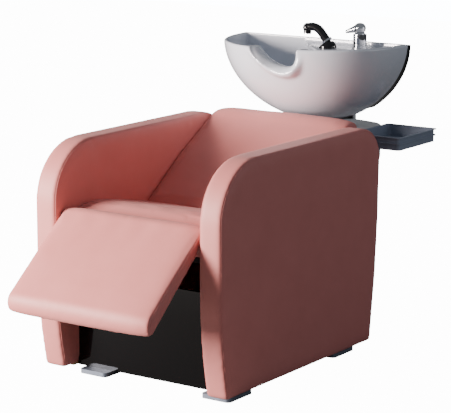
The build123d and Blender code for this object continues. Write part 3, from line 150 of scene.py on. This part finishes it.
# The kick panel and the rear panel are board faced with black high-gloss laminate and screwed to the
# frame. A laminate lies almost flat, so it mirrors the room with slow, large waves, and fine dust
# dulls it a little in places.
laminate, tree, shader, place = start("high-gloss laminate")
waves = add(tree, "ShaderNodeTexNoise", {"Vector": place, "Scale": per_metre(333), "Detail": 1.0})
flatness = add(
    tree, "ShaderNodeBump", {"Height": waves.outputs["Fac"], "Strength": 0.06, "Distance": 0.004}
)
tree.links.new(flatness.outputs["Normal"], shader.inputs["Normal"])
dust = add(tree, "ShaderNodeTexNoise", {"Vector": place, "Scale": per_metre(22.2), "Detail": 4.0})
gloss = add(
    tree, "ShaderNodeMapRange", {"Value": dust.outputs["Fac"], "To Min": 0.05, "To Max": 0.1}
)
tree.links.new(gloss.outputs["Result"], shader.inputs["Roughness"])
shader.inputs["Base Color"].default_value = colour("#060607")
shader.inputs["IOR"].default_value = 1.5
shader.inputs["Specular IOR Level"].default_value = 0.25
dress(laminate, "kick_panel", "rear_panel")

# The feet are flat aluminium castings with rounded corners, bolted under the floor rails. They are
# bead-blasted, which spreads every light to a soft satin, and handling has worn it unevenly. Real
# dents are about 0.3 mm, and are drawn 1.1 mm across to show.
aluminium, tree, shader, place = start("bead-blasted aluminium")
beads = add(tree, "ShaderNodeTexNoise", {"Vector": place, "Scale": per_metre(1.11), "Detail": 2.0})
dents = add(
    tree, "ShaderNodeBump", {"Height": beads.outputs["Fac"], "Strength": 0.3, "Distance": 0.0002}
)
tree.links.new(dents.outputs["Normal"], shader.inputs["Normal"])
wear = add(tree, "ShaderNodeTexNoise", {"Vector": place, "Scale": per_metre(33.3), "Detail": 3.0})
gloss = add(
    tree, "ShaderNodeMapRange", {"Value": wear.outputs["Fac"], "To Min": 0.36, "To Max": 0.5}
)
tree.links.new(gloss.outputs["Result"], shader.inputs["Roughness"])
shader.inputs["Base Color"].default_value = colour("#8E98A8")
shader.inputs["Metallic"].default_value = 0.8
dress(aluminium, "feet")

# The footrest turns on a steel tube between two flanged pins, and a wrap spring on its left pin
# holds it where it is put. These parts, the screws and the bolts are zinc-plated. The plating breaks
# into small crystals that differ in tone and in gloss; they are drawn 6 mm across to show.
zinc, tree, shader, place = start("zinc-plated steel")
spangle = add(tree, "ShaderNodeTexVoronoi", {"Vector": place, "Scale": per_metre(6.25)})
tone = add(
    tree, "ShaderNodeMix",
    {0: spangle.outputs["Distance"], 6: colour("#9EA2A8"), 7: colour("#B9BCC1")}, data_type="RGBA",
)
tree.links.new(tone.outputs[2], shader.inputs["Base Color"])
gloss = add(
    tree, "ShaderNodeMapRange",
    {"Value": spangle.outputs["Distance"], "To Min": 0.28, "To Max": 0.44},
)
tree.links.new(gloss.outputs["Result"], shader.inputs["Roughness"])
shader.inputs["Metallic"].default_value = 1.0
dress(
    zinc, "screws", "arm_bolts", "footrest_screws", "footrest_pivot_tube", "footrest_saddles",
    "pivot_flange_left", "pivot_flange_right", "tilt_pins", "brake_wrap_spring",
    "footrest_brake_sleeve",
)

# The bush in the pivot tube and the waste outlet at the rear are injection-moulded in grey plastic
# and pushed into place. The mould's fine texture makes them half matt; its real grain of 0.3 mm is
# drawn 1.25 mm across to show.
moulding, tree, shader, place = start("grey moulded plastic")
texture = add(tree, "ShaderNodeTexNoise", {"Vector": place, "Scale": per_metre(1.25), "Detail": 1.0})
bumps = add(
    tree, "ShaderNodeBump", {"Height": texture.outputs["Fac"], "Strength": 0.15, "Distance": 0.0002}
)
tree.links.new(bumps.outputs["Normal"], shader.inputs["Normal"])
shader.inputs["Base Color"].default_value = colour("#9A9C9E")
shader.inputs["Roughness"].default_value = 0.5
dress(moulding, "footrest_bush", "waste_outlet")

# The friction discs of the tilt pivot are die-cut from black rubber sheet and clamped by the pins.
# Cut rubber is matt and slightly open, so it hardly catches a light. Its grain of 0.5 mm is drawn
# 2 mm across to show.
rubber, tree, shader, place = start("die-cut rubber")
texture = add(tree, "ShaderNodeTexNoise", {"Vector": place, "Scale": per_metre(2), "Detail": 2.0})
bumps = add(
    tree, "ShaderNodeBump", {"Height": texture.outputs["Fac"], "Strength": 0.3, "Distance": 0.0003}
)
tree.links.new(bumps.outputs["Normal"], shader.inputs["Normal"])
shader.inputs["Base Color"].default_value = colour("#151515")
shader.inputs["Roughness"].default_value = 0.78
dress(rubber, "tilt_friction_discs")

# The arms are plywood and foam under taut pink leatherette: two side panels and a band round the
# edge, sewn together. One arm is made and its mirror image is the other.
LEATHER_LIGHT = "#D3837D"
LEATHER_DEEP = "#C67670"

# Leatherette is a soft, half matt skin that drifts a little in tone. It is pressed with pebbles and
# pulled in slow waves by its stretching, which breaks up the lights along every edge. The pebbles
# are 1 mm apart; they are drawn 2 mm apart so that they show.
leatherette, tree, shader, place = start("embossed leatherette")
shades = add(
    tree, "ShaderNodeTexNoise",
    {"Vector": place, "Scale": per_metre(111), "Detail": 4.0, "Roughness": 0.6},
)
tone = add(
    tree, "ShaderNodeMix",
    {0: shades.outputs["Fac"], 6: colour(LEATHER_DEEP), 7: colour(LEATHER_LIGHT)}, data_type="RGBA",
)
tree.links.new(tone.outputs[2], shader.inputs["Base Color"])
gloss = add(
    tree, "ShaderNodeMapRange", {"Value": shades.outputs["Fac"], "To Min": 0.47, "To Max": 0.6}
)
tree.links.new(gloss.outputs["Result"], shader.inputs["Roughness"])
pebbles = add(
    tree, "ShaderNodeTexVoronoi", {"Vector": place, "Scale": per_metre(2)}, feature="SMOOTH_F1"
)
emboss = add(
    tree, "ShaderNodeBump",
    {"Height": pebbles.outputs["Distance"], "Strength": 0.35, "Distance": 0.0004},
)
stretch = add(
    tree, "ShaderNodeTexNoise",
    {"Vector": place, "Scale": per_metre(29.4), "Detail": 5.0, "Roughness": 0.6},
)
pull = add(
    tree, "ShaderNodeBump",
    {
        "Height": stretch.outputs["Fac"], "Strength": 0.22, "Distance": 0.0012,
        "Normal": emboss.outputs["Normal"],
    },
)
tree.links.new(pull.outputs["Normal"], shader.inputs["Normal"])
shader.inputs["Specular IOR Level"].default_value = 0.45
shader.inputs["Sheen Weight"].default_value = 0.12
shader.inputs["Sheen Roughness"].default_value = 0.5
shader.inputs["Sheen Tint"].default_value = colour("#FFE3DE")

MIDDLE_X = -0.0095
ARM_VOXEL = 0.006
ARM_ROUNDING = 12
ARM_SWELL = 0.0035
ARM_KNEE_HEIGHT = 0.316
ARM_FOOT_DRAW = 0.036
ARM_FRONT_RADIUS = 0.185
ARM_REAR_RADIUS = 0.105
ARM_REAR_HEIGHT = 0.546
ARM_REAR_LEAN = 0.045
ARM_REAR_BOW = 0.009

COVER_DRAWN_IN = 0.6
COVER_MASS = 0.25
COVER_PRESSURE = 4.0
COVER_STEPS = 20
COVER_SETTLING = 3

SEAM_RADIUS = 0.0011
SEAM_PROUD = 0.15
SEAM_STEP = 0.004
SEAM_SIDES = 8
SEAM_INSET = 0.009


def points_of(mesh):
    """The corners of a mesh, as an array."""
    flat = np.empty(len(mesh.vertices) * 3)
    mesh.vertices.foreach_get("co", flat)
    return flat.reshape(-1, 3)


def normals_of(mesh):
    """The directions that a mesh's corners face, as an array."""
    flat = np.empty(len(mesh.vertices) * 3)
    mesh.vertices.foreach_get("normal", flat)
    return flat.reshape(-1, 3)


def move_points(mesh, points):
    """Puts a mesh's corners in new places."""
    mesh.vertices.foreach_set("co", np.asarray(points).ravel())
    mesh.update()


def add_piece(name, mesh):
    """A new piece in the scene."""
    piece = bpy.data.objects.new(name, mesh)
    scene.collection.objects.link(piece)
    return piece


def bake(piece):
    """Turns a piece with its modifiers into a plain mesh."""
    graph = bpy.context.evaluated_depsgraph_get()
    piece.data = bpy.data.meshes.new_from_object(piece.evaluated_get(graph))
    piece.modifiers.clear()


def smooth_down(piece, passes, group=""):
    """Smooths a piece by a number of passes, all over or where a vertex group says."""
    passing = piece.modifiers.new("smoothing", "SMOOTH")
    passing.factor = 0.5
    passing.iterations = passes
    passing.vertex_group = group
    bake(piece)


def even_form(name, mesh, voxel, passes, merge=1e-5):
    """A piece with an even mesh of a solid, its edges rounded by smoothing passes."""
    shape = bmesh.new()
    shape.from_mesh(mesh)
    bmesh.ops.remove_doubles(shape, verts=shape.verts, dist=merge)
    merged = bpy.data.meshes.new(name)
    shape.to_mesh(merged)
    shape.free()
    piece = add_piece(name, merged)
    even = piece.modifiers.new("even", "REMESH")
    even.mode = "VOXEL"
    even.voxel_size = voxel
    smooth_down(piece, passes)
    return piece


def swell(piece, limit):
    """Lets the cover blow up over its foam, and holds each point near where it was."""
    before = points_of(piece.data)
    move_points(piece.data, before - normals_of(piece.data) * limit * COVER_DRAWN_IN)
    cloth = piece.modifiers.new("cloth", "CLOTH")
    cloth.settings.quality = 4
    cloth.settings.mass = COVER_MASS
    cloth.settings.use_pressure = True
    cloth.settings.uniform_pressure_force = COVER_PRESSURE
    cloth.settings.effector_weights.gravity = 0.0
    for step in range(1, COVER_STEPS + 1):
        scene.frame_set(step)
    graph = bpy.context.evaluated_depsgraph_get()
    blown = points_of(piece.evaluated_get(graph).data)
    piece.modifiers.remove(cloth)
    scene.frame_set(1)
    travel = blown - before
    length = np.linalg.norm(travel, axis=1, keepdims=True) + 1e-9
    move_points(piece.data, before + travel / length * limit * np.tanh(length / limit))
    smooth_down(piece, COVER_SETTLING)


def finish_in(piece, material):
    """Gives a piece one material all over, and shades it as a smooth surface."""
    piece.data.materials.clear()
    piece.data.materials.append(material)
    piece.data.polygons.foreach_set("use_smooth", [True] * len(piece.data.polygons))


def cover(piece, body, node):
    """Finishes a padded piece: leatherette, its body, and the block that it stands for."""
    finish_in(piece, leatherette)
    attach(piece, body)
    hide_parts(node)


def seam(name, path, on, body):
    """A sewn seam: a thin bead of folded leatherette that lies on a cover along a path."""
    tree = BVHTree.FromObject(on, bpy.context.evaluated_depsgraph_get())
    laid = []
    for point in path:
        found, facing, _, _ = tree.find_nearest(Vector(point))
        laid.append(found + facing * SEAM_RADIUS * SEAM_PROUD)
    line = bpy.data.meshes.new(name)
    line.from_pydata(laid, [(i, i + 1) for i in range(len(laid) - 1)], [])
    piece = add_piece(name, line)
    group = bpy.data.node_groups.new("seam", "GeometryNodeTree")
    group.interface.new_socket("Geometry", in_out="INPUT", socket_type="NodeSocketGeometry")
    size = group.interface.new_socket("Bead radius", in_out="INPUT", socket_type="NodeSocketFloat")
    group.interface.new_socket("Geometry", in_out="OUTPUT", socket_type="NodeSocketGeometry")
    given = group.nodes.new("NodeGroupInput")
    curve = add(group, "GeometryNodeMeshToCurve", {"Mesh": given.outputs["Geometry"]})
    even = add(
        group, "GeometryNodeResampleCurve",
        {"Curve": curve.outputs["Curve"], "Length": SEAM_STEP}, mode="LENGTH",
    )
    ring = add(
        group, "GeometryNodeCurvePrimitiveCircle",
        {"Resolution": SEAM_SIDES, "Radius": given.outputs["Bead radius"]},
    )
    bead = add(
        group, "GeometryNodeCurveToMesh",
        {"Curve": even.outputs["Curve"], "Profile Curve": ring.outputs["Curve"], "Fill Caps": True},
    )
    round_bead = add(group, "GeometryNodeSetShadeSmooth", {"Geometry": bead.outputs["Mesh"]})
    real = add(
        group, "GeometryNodeRealizeInstances", {"Geometry": round_bead.outputs["Geometry"]}
    )
    finish = add(
        group, "GeometryNodeSetMaterial",
        {"Geometry": real.outputs["Geometry"], "Material": leatherette},
    )
    end = group.nodes.new("NodeGroupOutput")
    group.links.new(finish.outputs["Geometry"], end.inputs["Geometry"])
    sewing = piece.modifiers.new("sewing", "NODES")
    sewing.node_group = group
    sewing[size.identifier] = SEAM_RADIUS
    bake(piece)
    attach(piece, body)


def arm_outline(inset):
    """The arm's side view as points of Y and Z, drawn in by an inset, from its front foot round."""
    low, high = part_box("arm_cover_right")
    front, back = low.y + inset, high.y - inset
    floor, top = low.z + inset, high.z - inset
    line = []
    for t in np.linspace(0.0, 1.0, 12):
        line.append((front + ARM_FOOT_DRAW * (1 - t) ** 2, floor + ARM_KNEE_HEIGHT * t))
    radius = ARM_FRONT_RADIUS - inset
    for turn in np.linspace(0, math.pi / 2, 25):
        y = front + radius - radius * math.cos(turn)
        line.append((y, top - radius + radius * math.sin(turn)))
    radius = ARM_REAR_RADIUS - inset
    for turn in np.linspace(0, math.pi / 2, 15):
        y = back - radius + radius * math.sin(turn)
        line.append((y, top - radius + radius * math.cos(turn)))
    for t in np.linspace(0.1, 1.0, 12):
        y = back - ARM_REAR_LEAN * t + ARM_REAR_BOW * 4 * t * (1 - t)
        line.append((y, floor + ARM_REAR_HEIGHT * (1 - t)))
    return line


low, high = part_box("arm_cover_right")
shape = bmesh.new()
ring = [shape.verts.new((low.x, y, z)) for y, z in arm_outline(0.0)]
made = bmesh.ops.extrude_face_region(shape, geom=[shape.faces.new(ring)])
moved = [v for v in made["geom"] if isinstance(v, bmesh.types.BMVert)]
bmesh.ops.translate(shape, vec=(high.x - low.x, 0, 0), verts=moved)
bmesh.ops.recalc_face_normals(shape, faces=shape.faces)
slab = bpy.data.meshes.new("arm slab")
shape.to_mesh(slab)
shape.free()
arm = even_form("arm_upholstery_right", slab, ARM_VOXEL, ARM_ROUNDING)
swell(arm, ARM_SWELL)

shape = bmesh.new()
shape.from_mesh(arm.data)
bmesh.ops.scale(shape, vec=(-1, 1, 1), verts=shape.verts)
bmesh.ops.translate(shape, vec=(2 * MIDDLE_X, 0, 0), verts=shape.verts)
bmesh.ops.reverse_faces(shape, faces=shape.faces)
mirrored = bpy.data.meshes.new("arm_upholstery_left")
shape.to_mesh(mirrored)
shape.free()
other_arm = add_piece("arm_upholstery_left", mirrored)

cover(arm, "chair", "arm_cover_right")
cover(other_arm, "chair", "arm_cover_left")
for piece, name, side in ((arm, "right", 1), (other_arm, "left", -1)):
    for face, x in (("outer", high.x), ("inner", low.x)):
        across = MIDDLE_X + side * (x - MIDDLE_X)
        path = [(across, y, z) for y, z in arm_outline(SEAM_INSET)]
        seam("arm_seam_%s_%s" % (name, face), path, piece, "chair")

# The seat cushion is a foam wedge with a rolled front edge that closes on the footrest's nose. Where
# the cover is pulled round the roll it lies in small folds, most of them at its right end.
CUSHION_VOXEL = 0.0045
CUSHION_ROUNDING = 12
CUSHION_SWELL = 0.003
ROLL_BACK = 0.13
ROLL_FADE = 0.09
ROLL_FOOT = 0.44
ROLL_RISE = 0.04
RIPPLE_HEIGHT = 0.0006
# the ripples are about 0.12 m long and wander a little: radians in a metre, across and along the seat
RIPPLE_ACROSS = 55
RIPPLE_ALONG = 47
RIPPLE_WANDER = 40
# Each fold: how far behind the seat's front it ends, how much it slants, its width, where it starts
# and ends in half widths of the seat, and how deep it is.
SEAT_FOLDS = (
    (0.020, 0.020, 0.0055, 0.35, 0.98, 0.0028),
    (0.040, 0.034, 0.0060, 0.45, 0.98, 0.0026),
    (0.062, 0.052, 0.0065, 0.55, 0.98, 0.0020),
    (0.030, -0.026, 0.0055, -0.62, -0.98, 0.0022),
    (0.050, -0.038, 0.0060, -0.70, -0.98, 0.0016),
)

seat = even_form(
    "seat_upholstery", nodes["seat_cushion"].data, CUSHION_VOXEL, CUSHION_ROUNDING
)
swell(seat, CUSHION_SWELL)
points = points_of(seat.data)
x, y, z = points.T
across = (x - MIDDLE_X) / ((x.max() - x.min()) / 2)
on_roll = np.clip((y.min() + ROLL_BACK - y) / ROLL_FADE, 0, 1)
on_roll = on_roll * np.clip((z - ROLL_FOOT) / ROLL_RISE, 0, 1)
sink = np.zeros(len(points))
for behind, slant, width, start_x, end_x, deep in SEAT_FOLDS:
    reach = np.clip((across - start_x) / (end_x - start_x), 0, 1)
    line = y.min() + behind + slant * (1 - np.abs(across)) * 2
    sink += deep * reach ** 0.8 * np.exp(-(((y - line) / width) ** 2))
wander = 2 * np.sin(y * RIPPLE_WANDER)
ripple = RIPPLE_HEIGHT * np.sin(x * RIPPLE_ACROSS + wander) * np.sin(y * RIPPLE_ALONG + 1.3)
move_points(seat.data, points + normals_of(seat.data) * (ripple - sink * on_roll)[:, None])
cover(seat, "chair", "seat_cushion")

# The backrest cushion is foam on a board. It leans far back and rolls over its top edge towards the
# bowl. Its cover is stretched, so it has only slow hollows, about 0.3 m apart.
HOLLOW_DEPTH = 0.0008
# radians in a metre, across and up the backrest
HOLLOWS_ACROSS = 23
HOLLOWS_UP = 19

back = even_form("back_upholstery", nodes["back_cushion"].data, CUSHION_VOXEL, CUSHION_ROUNDING)
swell(back, CUSHION_SWELL)
points = points_of(back.data)
x, y, z = points.T
hollow = HOLLOW_DEPTH * np.sin(x * HOLLOWS_ACROSS + 1.0) * np.sin((y + z) * HOLLOWS_UP + 0.4)
move_points(back.data, points + normals_of(back.data) * hollow[:, None])
cover(back, "chair", "back_cushion")

# The footrest is a flat foam wedge on its board, wrapped round the pivot tube. Its sides are separate
# strips, sewn to the top, and the top is drawn tight to the crease with faint fans of tension.
PAD_ROUNDING = 7
PAD_SWELL = 0.002
PAD_PIVOT = np.array([-0.444252, 0.478])
PAD_TURN = math.radians(219.0)
PAD_HALF_WIDTH = 0.259
PAD_TOP = 0.03
PAD_TOP_FADE = 0.008
CREASE_START = -0.02
CREASE_FADE = 0.03
FAN_HEIGHT = 0.0009
FAN_REACH = 0.05
FANS_ACROSS = 17
FAN_SPREAD = 24
SAG_DEPTH = 0.0012
SAG_CENTRE = 0.12
SAG_SPREAD = 0.02
SIDE_SEAM_X = 0.262
SIDE_SEAM_END = 0.34
SIDE_SEAM_POINTS = 60
TOE_START = 0.3
TOE_LENGTH = 0.04

footrest = even_form(
    "footrest_upholstery", nodes["footrest_cushion"].data, CUSHION_VOXEL, PAD_ROUNDING
)
swell(footrest, PAD_SWELL)
along_pad = np.array([math.cos(PAD_TURN), math.sin(PAD_TURN)])
over_pad = np.array([math.sin(PAD_TURN), -math.cos(PAD_TURN)])
points = points_of(footrest.data)
from_pivot = points[:, 1:] - PAD_PIVOT
along = from_pivot @ along_pad
height = from_pivot @ over_pad
across = (points[:, 0] - MIDDLE_X) / PAD_HALF_WIDTH
top_side = np.clip((height - PAD_TOP) / PAD_TOP_FADE, 0, 1)
near_crease = np.exp(-np.clip(along, 0, None) / FAN_REACH)
near_crease = near_crease * np.clip((along - CREASE_START) / CREASE_FADE, 0, 1)
fans = FAN_HEIGHT * np.sin(across * (FANS_ACROSS + FAN_SPREAD * along)) * near_crease
middle = np.clip(1 - (along - SAG_CENTRE) ** 2 / SAG_SPREAD, 0, 1) * (1 - across ** 2)
sag = -SAG_DEPTH * middle
pulled = (fans + sag) * top_side
move_points(footrest.data, points + normals_of(footrest.data) * pulled[:, None])
cover(footrest, "footrest", "footrest_cushion")
for name, side in (("right", 1), ("left", -1)):
    # each seam: where it starts, its height over the pivot, its fall, and its fall over the toe
    for level, first, high_line, fall, toe_fall in (
        ("top", 0.02, 0.0345, 0.0, 0.018),
        ("bottom", 0.05, 0.0, 0.045, 0.0),
    ):
        path = []
        for t in np.linspace(first, SIDE_SEAM_END, SIDE_SEAM_POINTS):
            over = high_line - fall * t - toe_fall * max(0.0, (t - TOE_START) / TOE_LENGTH)
            spot = PAD_PIVOT + along_pad * t + over_pad * over
            path.append((MIDDLE_X + side * SIDE_SEAM_X, spot[0], spot[1]))
        seam("footrest_seam_%s_%s" % (name, level), path, footrest, "footrest")

# The housing behind the backrest and the neck that carries the bowl are moulded in light grey ABS
# and screwed to the column. The mould is spark-eroded, which gives them an even, soft sheen; its
# real grain of 0.3 mm is drawn 1.1 mm across to show.
abs_light, tree, shader, place = start("spark-eroded ABS")
texture = add(tree, "ShaderNodeTexNoise", {"Vector": place, "Scale": per_metre(1.11), "Detail": 2.0})
bumps = add(
    tree, "ShaderNodeBump", {"Height": texture.outputs["Fac"], "Strength": 0.2, "Distance": 0.0002}
)
tree.links.new(bumps.outputs["Normal"], shader.inputs["Normal"])
shader.inputs["Base Color"].default_value = colour("#DADAD9")
shader.inputs["Roughness"].default_value = 0.42
dress(abs_light, "housing_shell", "housing_bottom_cover", "neck")

# The bowl is slip-cast sanitary ware under a white glaze. The glaze rounds every edge, and the thick
# lip of the neck recess grows out of the rim on its left, so both are smoothed in.
BOWL_VOXEL = 0.003
GLAZE_FLOW = 10
RECESS_BACK_Y = 0.35
RECESS_FADE = 0.02
LIP_FULL = 0.02
LIP_BLEND_REACH = 0.045
LIP_BLEND_PASSES = 30
LIP_BLEND_LEAST = 0.01
SWELL_HEIGHT = 0.011
SWELL_WIDTH = 0.014
SWELL_DROP = 0.008
# shares of the lip's length over which the swelling grows, where it has gone, and how it fades
SWELL_GROWS = 0.3
SWELL_CURVE = 1.5
SWELL_GONE = 0.9
SWELL_FADE = 0.2
# the crest of the lip, seen from the front, from the rim on the left round to the rim on the right
LIP_CREST = np.array(
    [
        (-0.130, 0.947), (-0.093, 0.944), (-0.067, 0.936), (-0.035, 0.907), (-0.009, 0.8875),
        (0.0165, 0.8765), (0.048, 0.870), (0.080, 0.878), (0.095, 0.893), (0.107, 0.915),
        (0.107, 0.934),
    ]
) + (MIDDLE_X, 0)

# Glaze pools and thins as it melts, so its tone drifts and its mirror is gently wavy under a clear
# coat, in patches about 170 mm across.
glaze, tree, shader, place = start("glazed sanitary ware")
depth = add(tree, "ShaderNodeTexNoise", {"Vector": place, "Scale": per_metre(167), "Detail": 2.0})
tone = add(
    tree, "ShaderNodeMix",
    {0: depth.outputs["Fac"], 6: colour("#E2E7F1"), 7: colour("#EAEEF6")}, data_type="RGBA",
)
tree.links.new(tone.outputs[2], shader.inputs["Base Color"])
flow = add(
    tree, "ShaderNodeBump", {"Height": depth.outputs["Fac"], "Strength": 0.05, "Distance": 0.004}
)
tree.links.new(flow.outputs["Normal"], shader.inputs["Normal"])
tree.links.new(flow.outputs["Normal"], shader.inputs["Coat Normal"])
shader.inputs["Roughness"].default_value = 0.14
shader.inputs["IOR"].default_value = 1.5
shader.inputs["Coat Weight"].default_value = 0.7
shader.inputs["Coat Roughness"].default_value = 0.03


def from_line(spots, line):
    """How far spots are from a line of points, and how far along it the nearest place is, 0 to 1."""
    best = np.full(len(spots), 1e9)
    place_on = np.zeros(len(spots))
    for i in range(len(line) - 1):
        run = line[i + 1] - line[i]
        share = np.clip(((spots - line[i]) @ run) / (run @ run), 0, 1)
        away = np.linalg.norm(spots - line[i] - share[:, None] * run, axis=1)
        nearer = away < best
        best[nearer] = away[nearer]
        place_on[nearer] = ((i + share) / (len(line) - 1))[nearer]
    return best, place_on


bowl = even_form("glazed_bowl", nodes["bowl"].data, BOWL_VOXEL, GLAZE_FLOW, merge=1e-6)
points = points_of(bowl.data)
facing = normals_of(bowl.data)
away, place_on = from_line(points[:, [0, 2]], LIP_CREST)
front = np.clip((RECESS_BACK_Y - points[:, 1]) / RECESS_FADE, 0, 1)
outside = np.clip(-facing[:, 1] * 2, 0, 1) * front
below = np.interp(points[:, 0], LIP_CREST[:, 0], LIP_CREST[:, 1]) - points[:, 2] - SWELL_DROP
grow = np.clip(place_on / SWELL_GROWS, 0, 1) ** SWELL_CURVE
grow = grow * np.clip((SWELL_GONE - place_on) / SWELL_FADE, 0, 1)
points[:, 1] -= SWELL_HEIGHT * grow * np.exp(-((below / SWELL_WIDTH) ** 2)) * outside
move_points(bowl.data, points)
lip = bowl.vertex_groups.new(name="lip")
weights = np.clip(1 - (away - LIP_FULL) / LIP_BLEND_REACH, 0, 1) * front
for i in np.nonzero(weights > LIP_BLEND_LEAST)[0]:
    lip.add([int(i)], float(weights[i]), "REPLACE")
smooth_down(bowl, LIP_BLEND_PASSES, "lip")
finish_in(bowl, glaze)
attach(bowl, "bowl")
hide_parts("bowl")

# The cover on the bowl's back, the hand shower's body and its flared holder are moulded in black ABS
# in polished moulds. It is nearly black with sharp lights, which handling dulls in places.
abs_black, tree, shader, place = start("polished black ABS")
haze = add(tree, "ShaderNodeTexNoise", {"Vector": place, "Scale": per_metre(16.7), "Detail": 3.0})
gloss = add(
    tree, "ShaderNodeMapRange", {"Value": haze.outputs["Fac"], "To Min": 0.1, "To Max": 0.18}
)
tree.links.new(gloss.outputs["Result"], shader.inputs["Roughness"])
shader.inputs["Base Color"].default_value = colour("#0F0F11")
dress(abs_black, "bowl_back_cover", "handset_body", "handset_holder")

# The waste flange, the lift-out strainer and the mixer's lever pin are turned from stainless steel
# and brushed. The brushed lines spread the lights across them. They are drawn 0.4 mm high and 8 mm
# long, far coarser than the real ones, to show.
BRUSH_LENGTH = 8.33
BRUSH_HEIGHT = 0.37
brush_scale = (per_metre(BRUSH_LENGTH), per_metre(BRUSH_LENGTH), per_metre(BRUSH_HEIGHT))

brushed, tree, shader, place = start("brushed stainless steel")
lines = add(tree, "ShaderNodeMapping", {"Vector": place, "Scale": brush_scale})
brush = add(
    tree, "ShaderNodeTexNoise", {"Vector": lines.outputs["Vector"], "Scale": 1.0, "Detail": 3.0}
)
gloss = add(
    tree, "ShaderNodeMapRange", {"Value": brush.outputs["Fac"], "To Min": 0.2, "To Max": 0.36}
)
tree.links.new(gloss.outputs["Result"], shader.inputs["Roughness"])
shader.inputs["Base Color"].default_value = colour("#C3C5C8")
shader.inputs["Metallic"].default_value = 1.0
dress(brushed, "drain_flange", "hair_strainer", "mixer_lever_pin")

# The nuts under the deck, the drain nut and the water inlets are machined from brass bar and screwed
# on. The cutter leaves brighter and duller patches on the yellow metal, drawn 4.5 mm across to show.
brass, tree, shader, place = start("machined brass")
cuts = add(tree, "ShaderNodeTexNoise", {"Vector": place, "Scale": per_metre(4.55), "Detail": 2.0})
gloss = add(
    tree, "ShaderNodeMapRange", {"Value": cuts.outputs["Fac"], "To Min": 0.24, "To Max": 0.4}
)
tree.links.new(gloss.outputs["Result"], shader.inputs["Roughness"])
shader.inputs["Base Color"].default_value = colour("#B99A55")
shader.inputs["Metallic"].default_value = 1.0
dress(brass, "deck_nuts", "drain_nut", "water_inlets")

# The mixer, the ring of the hand shower's holder and its spray face are polished and then chromed.
# Chrome is a near mirror, so it shows light and dark shapes of the room, with a faint polishing haze.
chrome, tree, shader, place = start("chrome plate")
polish = add(tree, "ShaderNodeTexNoise", {"Vector": place, "Scale": per_metre(11.1), "Detail": 2.0})
gloss = add(
    tree, "ShaderNodeMapRange", {"Value": polish.outputs["Fac"], "To Min": 0.03, "To Max": 0.08}
)
tree.links.new(gloss.outputs["Result"], shader.inputs["Roughness"])
shader.inputs["Base Color"].default_value = colour("#D9DBDE")
shader.inputs["Metallic"].default_value = 1.0
dress(
    chrome, "mixer_base_ring", "mixer_body", "mixer_cam_ring", "mixer_lever", "handset_ring",
    "handset_spray_face",
)

# The tray is vacuum-formed from blue-grey polypropylene and lies loose on its bracket. The plastic
# is a little waxy, so it is soft in gloss. Its grain of 0.5 mm is drawn 2 mm across to show.
polypropylene, tree, shader, place = start("vacuum-formed polypropylene")
texture = add(tree, "ShaderNodeTexNoise", {"Vector": place, "Scale": per_metre(2), "Detail": 2.0})
bumps = add(
    tree, "ShaderNodeBump", {"Height": texture.outputs["Fac"], "Strength": 0.15, "Distance": 0.0003}
)
tree.links.new(bumps.outputs["Normal"], shader.inputs["Normal"])
shader.inputs["Base Color"].default_value = colour("#8D97A8")
shader.inputs["Roughness"].default_value = 0.38
dress(polypropylene, "tray")

# The studio is a white paper floor and a white surround, a large soft key light at the front left
# and a weak one behind on the right. Floor and surround look white to the camera alone, and light
# the piece far less than they show.
FLOOR_REACH = 9
FLOOR_GLOW = 14.0
SURROUND_LIGHT = 0.24
SURROUND_SEEN = 16.0

studio_floor = bpy.data.meshes.new("studio_floor")
studio_floor.from_pydata(
    [(x * FLOOR_REACH, y * FLOOR_REACH, 0) for x, y in ((-1, -1), (1, -1), (1, 1), (-1, 1))],
    [], [(0, 1, 2, 3)],
)
paper, tree, shader, _ = start("white paper")
seen = add(tree, "ShaderNodeLightPath")
glow = add(
    tree, "ShaderNodeMapRange",
    {"Value": seen.outputs["Is Camera Ray"], "To Min": 0.0, "To Max": FLOOR_GLOW},
)
tree.links.new(glow.outputs["Result"], shader.inputs["Emission Strength"])
shader.inputs["Emission Color"].default_value = colour("#FFFFFF")
shader.inputs["Base Color"].default_value = colour("#707070")
shader.inputs["Roughness"].default_value = 0.9
studio_floor.materials.append(paper)
add_piece("studio_floor", studio_floor)

surround = bpy.data.worlds.new("studio")
scene.world = surround
surround.use_nodes = True
tree = surround.node_tree
sky = tree.nodes["Background"]
seen = add(tree, "ShaderNodeLightPath")
strength = add(
    tree, "ShaderNodeMapRange",
    {"Value": seen.outputs["Is Camera Ray"], "To Min": SURROUND_LIGHT, "To Max": SURROUND_SEEN},
)
tree.links.new(strength.outputs["Result"], sky.inputs["Strength"])
sky.inputs["Color"].default_value = colour("#F1F6FF")

for name, where, aim, size, power, tint in (
    ("key", (-2.2, -2.9, 1.2), (0, -0.4, 0.5), 1.5, 500.0, "#FFF3EE"),
    ("rear fill", (3.2, 1.3, 1.5), (0.2, 0.5, 0.7), 1.5, 9.0, "#F4F8FF"),
):
    lamp = bpy.data.lights.new(name, "AREA")
    lamp.color = colour(tint)[:3]
    lamp.energy = power
    lamp.size = size
    light = bpy.data.objects.new(name, lamp)
    scene.collection.objects.link(light)
    light.location = where
    light.rotation_mode = "QUATERNION"
    light.rotation_quaternion = (Vector(aim) - Vector(where)).to_track_quat("-Z", "Y")

# The camera was placed by fitting the chair's edges to the photograph: it looks down by 11.5 degrees
# from 35 degrees to the right of the chair's front.
lens = bpy.data.cameras.new("camera")
lens.lens = 157.65
lens.sensor_width = 36.0
camera = bpy.data.objects.new("camera", lens)
scene.collection.objects.link(camera)
camera.matrix_world = Matrix(
    (
        (0.8212, -0.1141, 0.5590, 3.4444),
        (0.5706, 0.1642, -0.8046, -4.9484),
        (0.0, 0.9797, 0.2000, 1.7061),
        (0, 0, 0, 1),
    )
)
scene.camera = camera
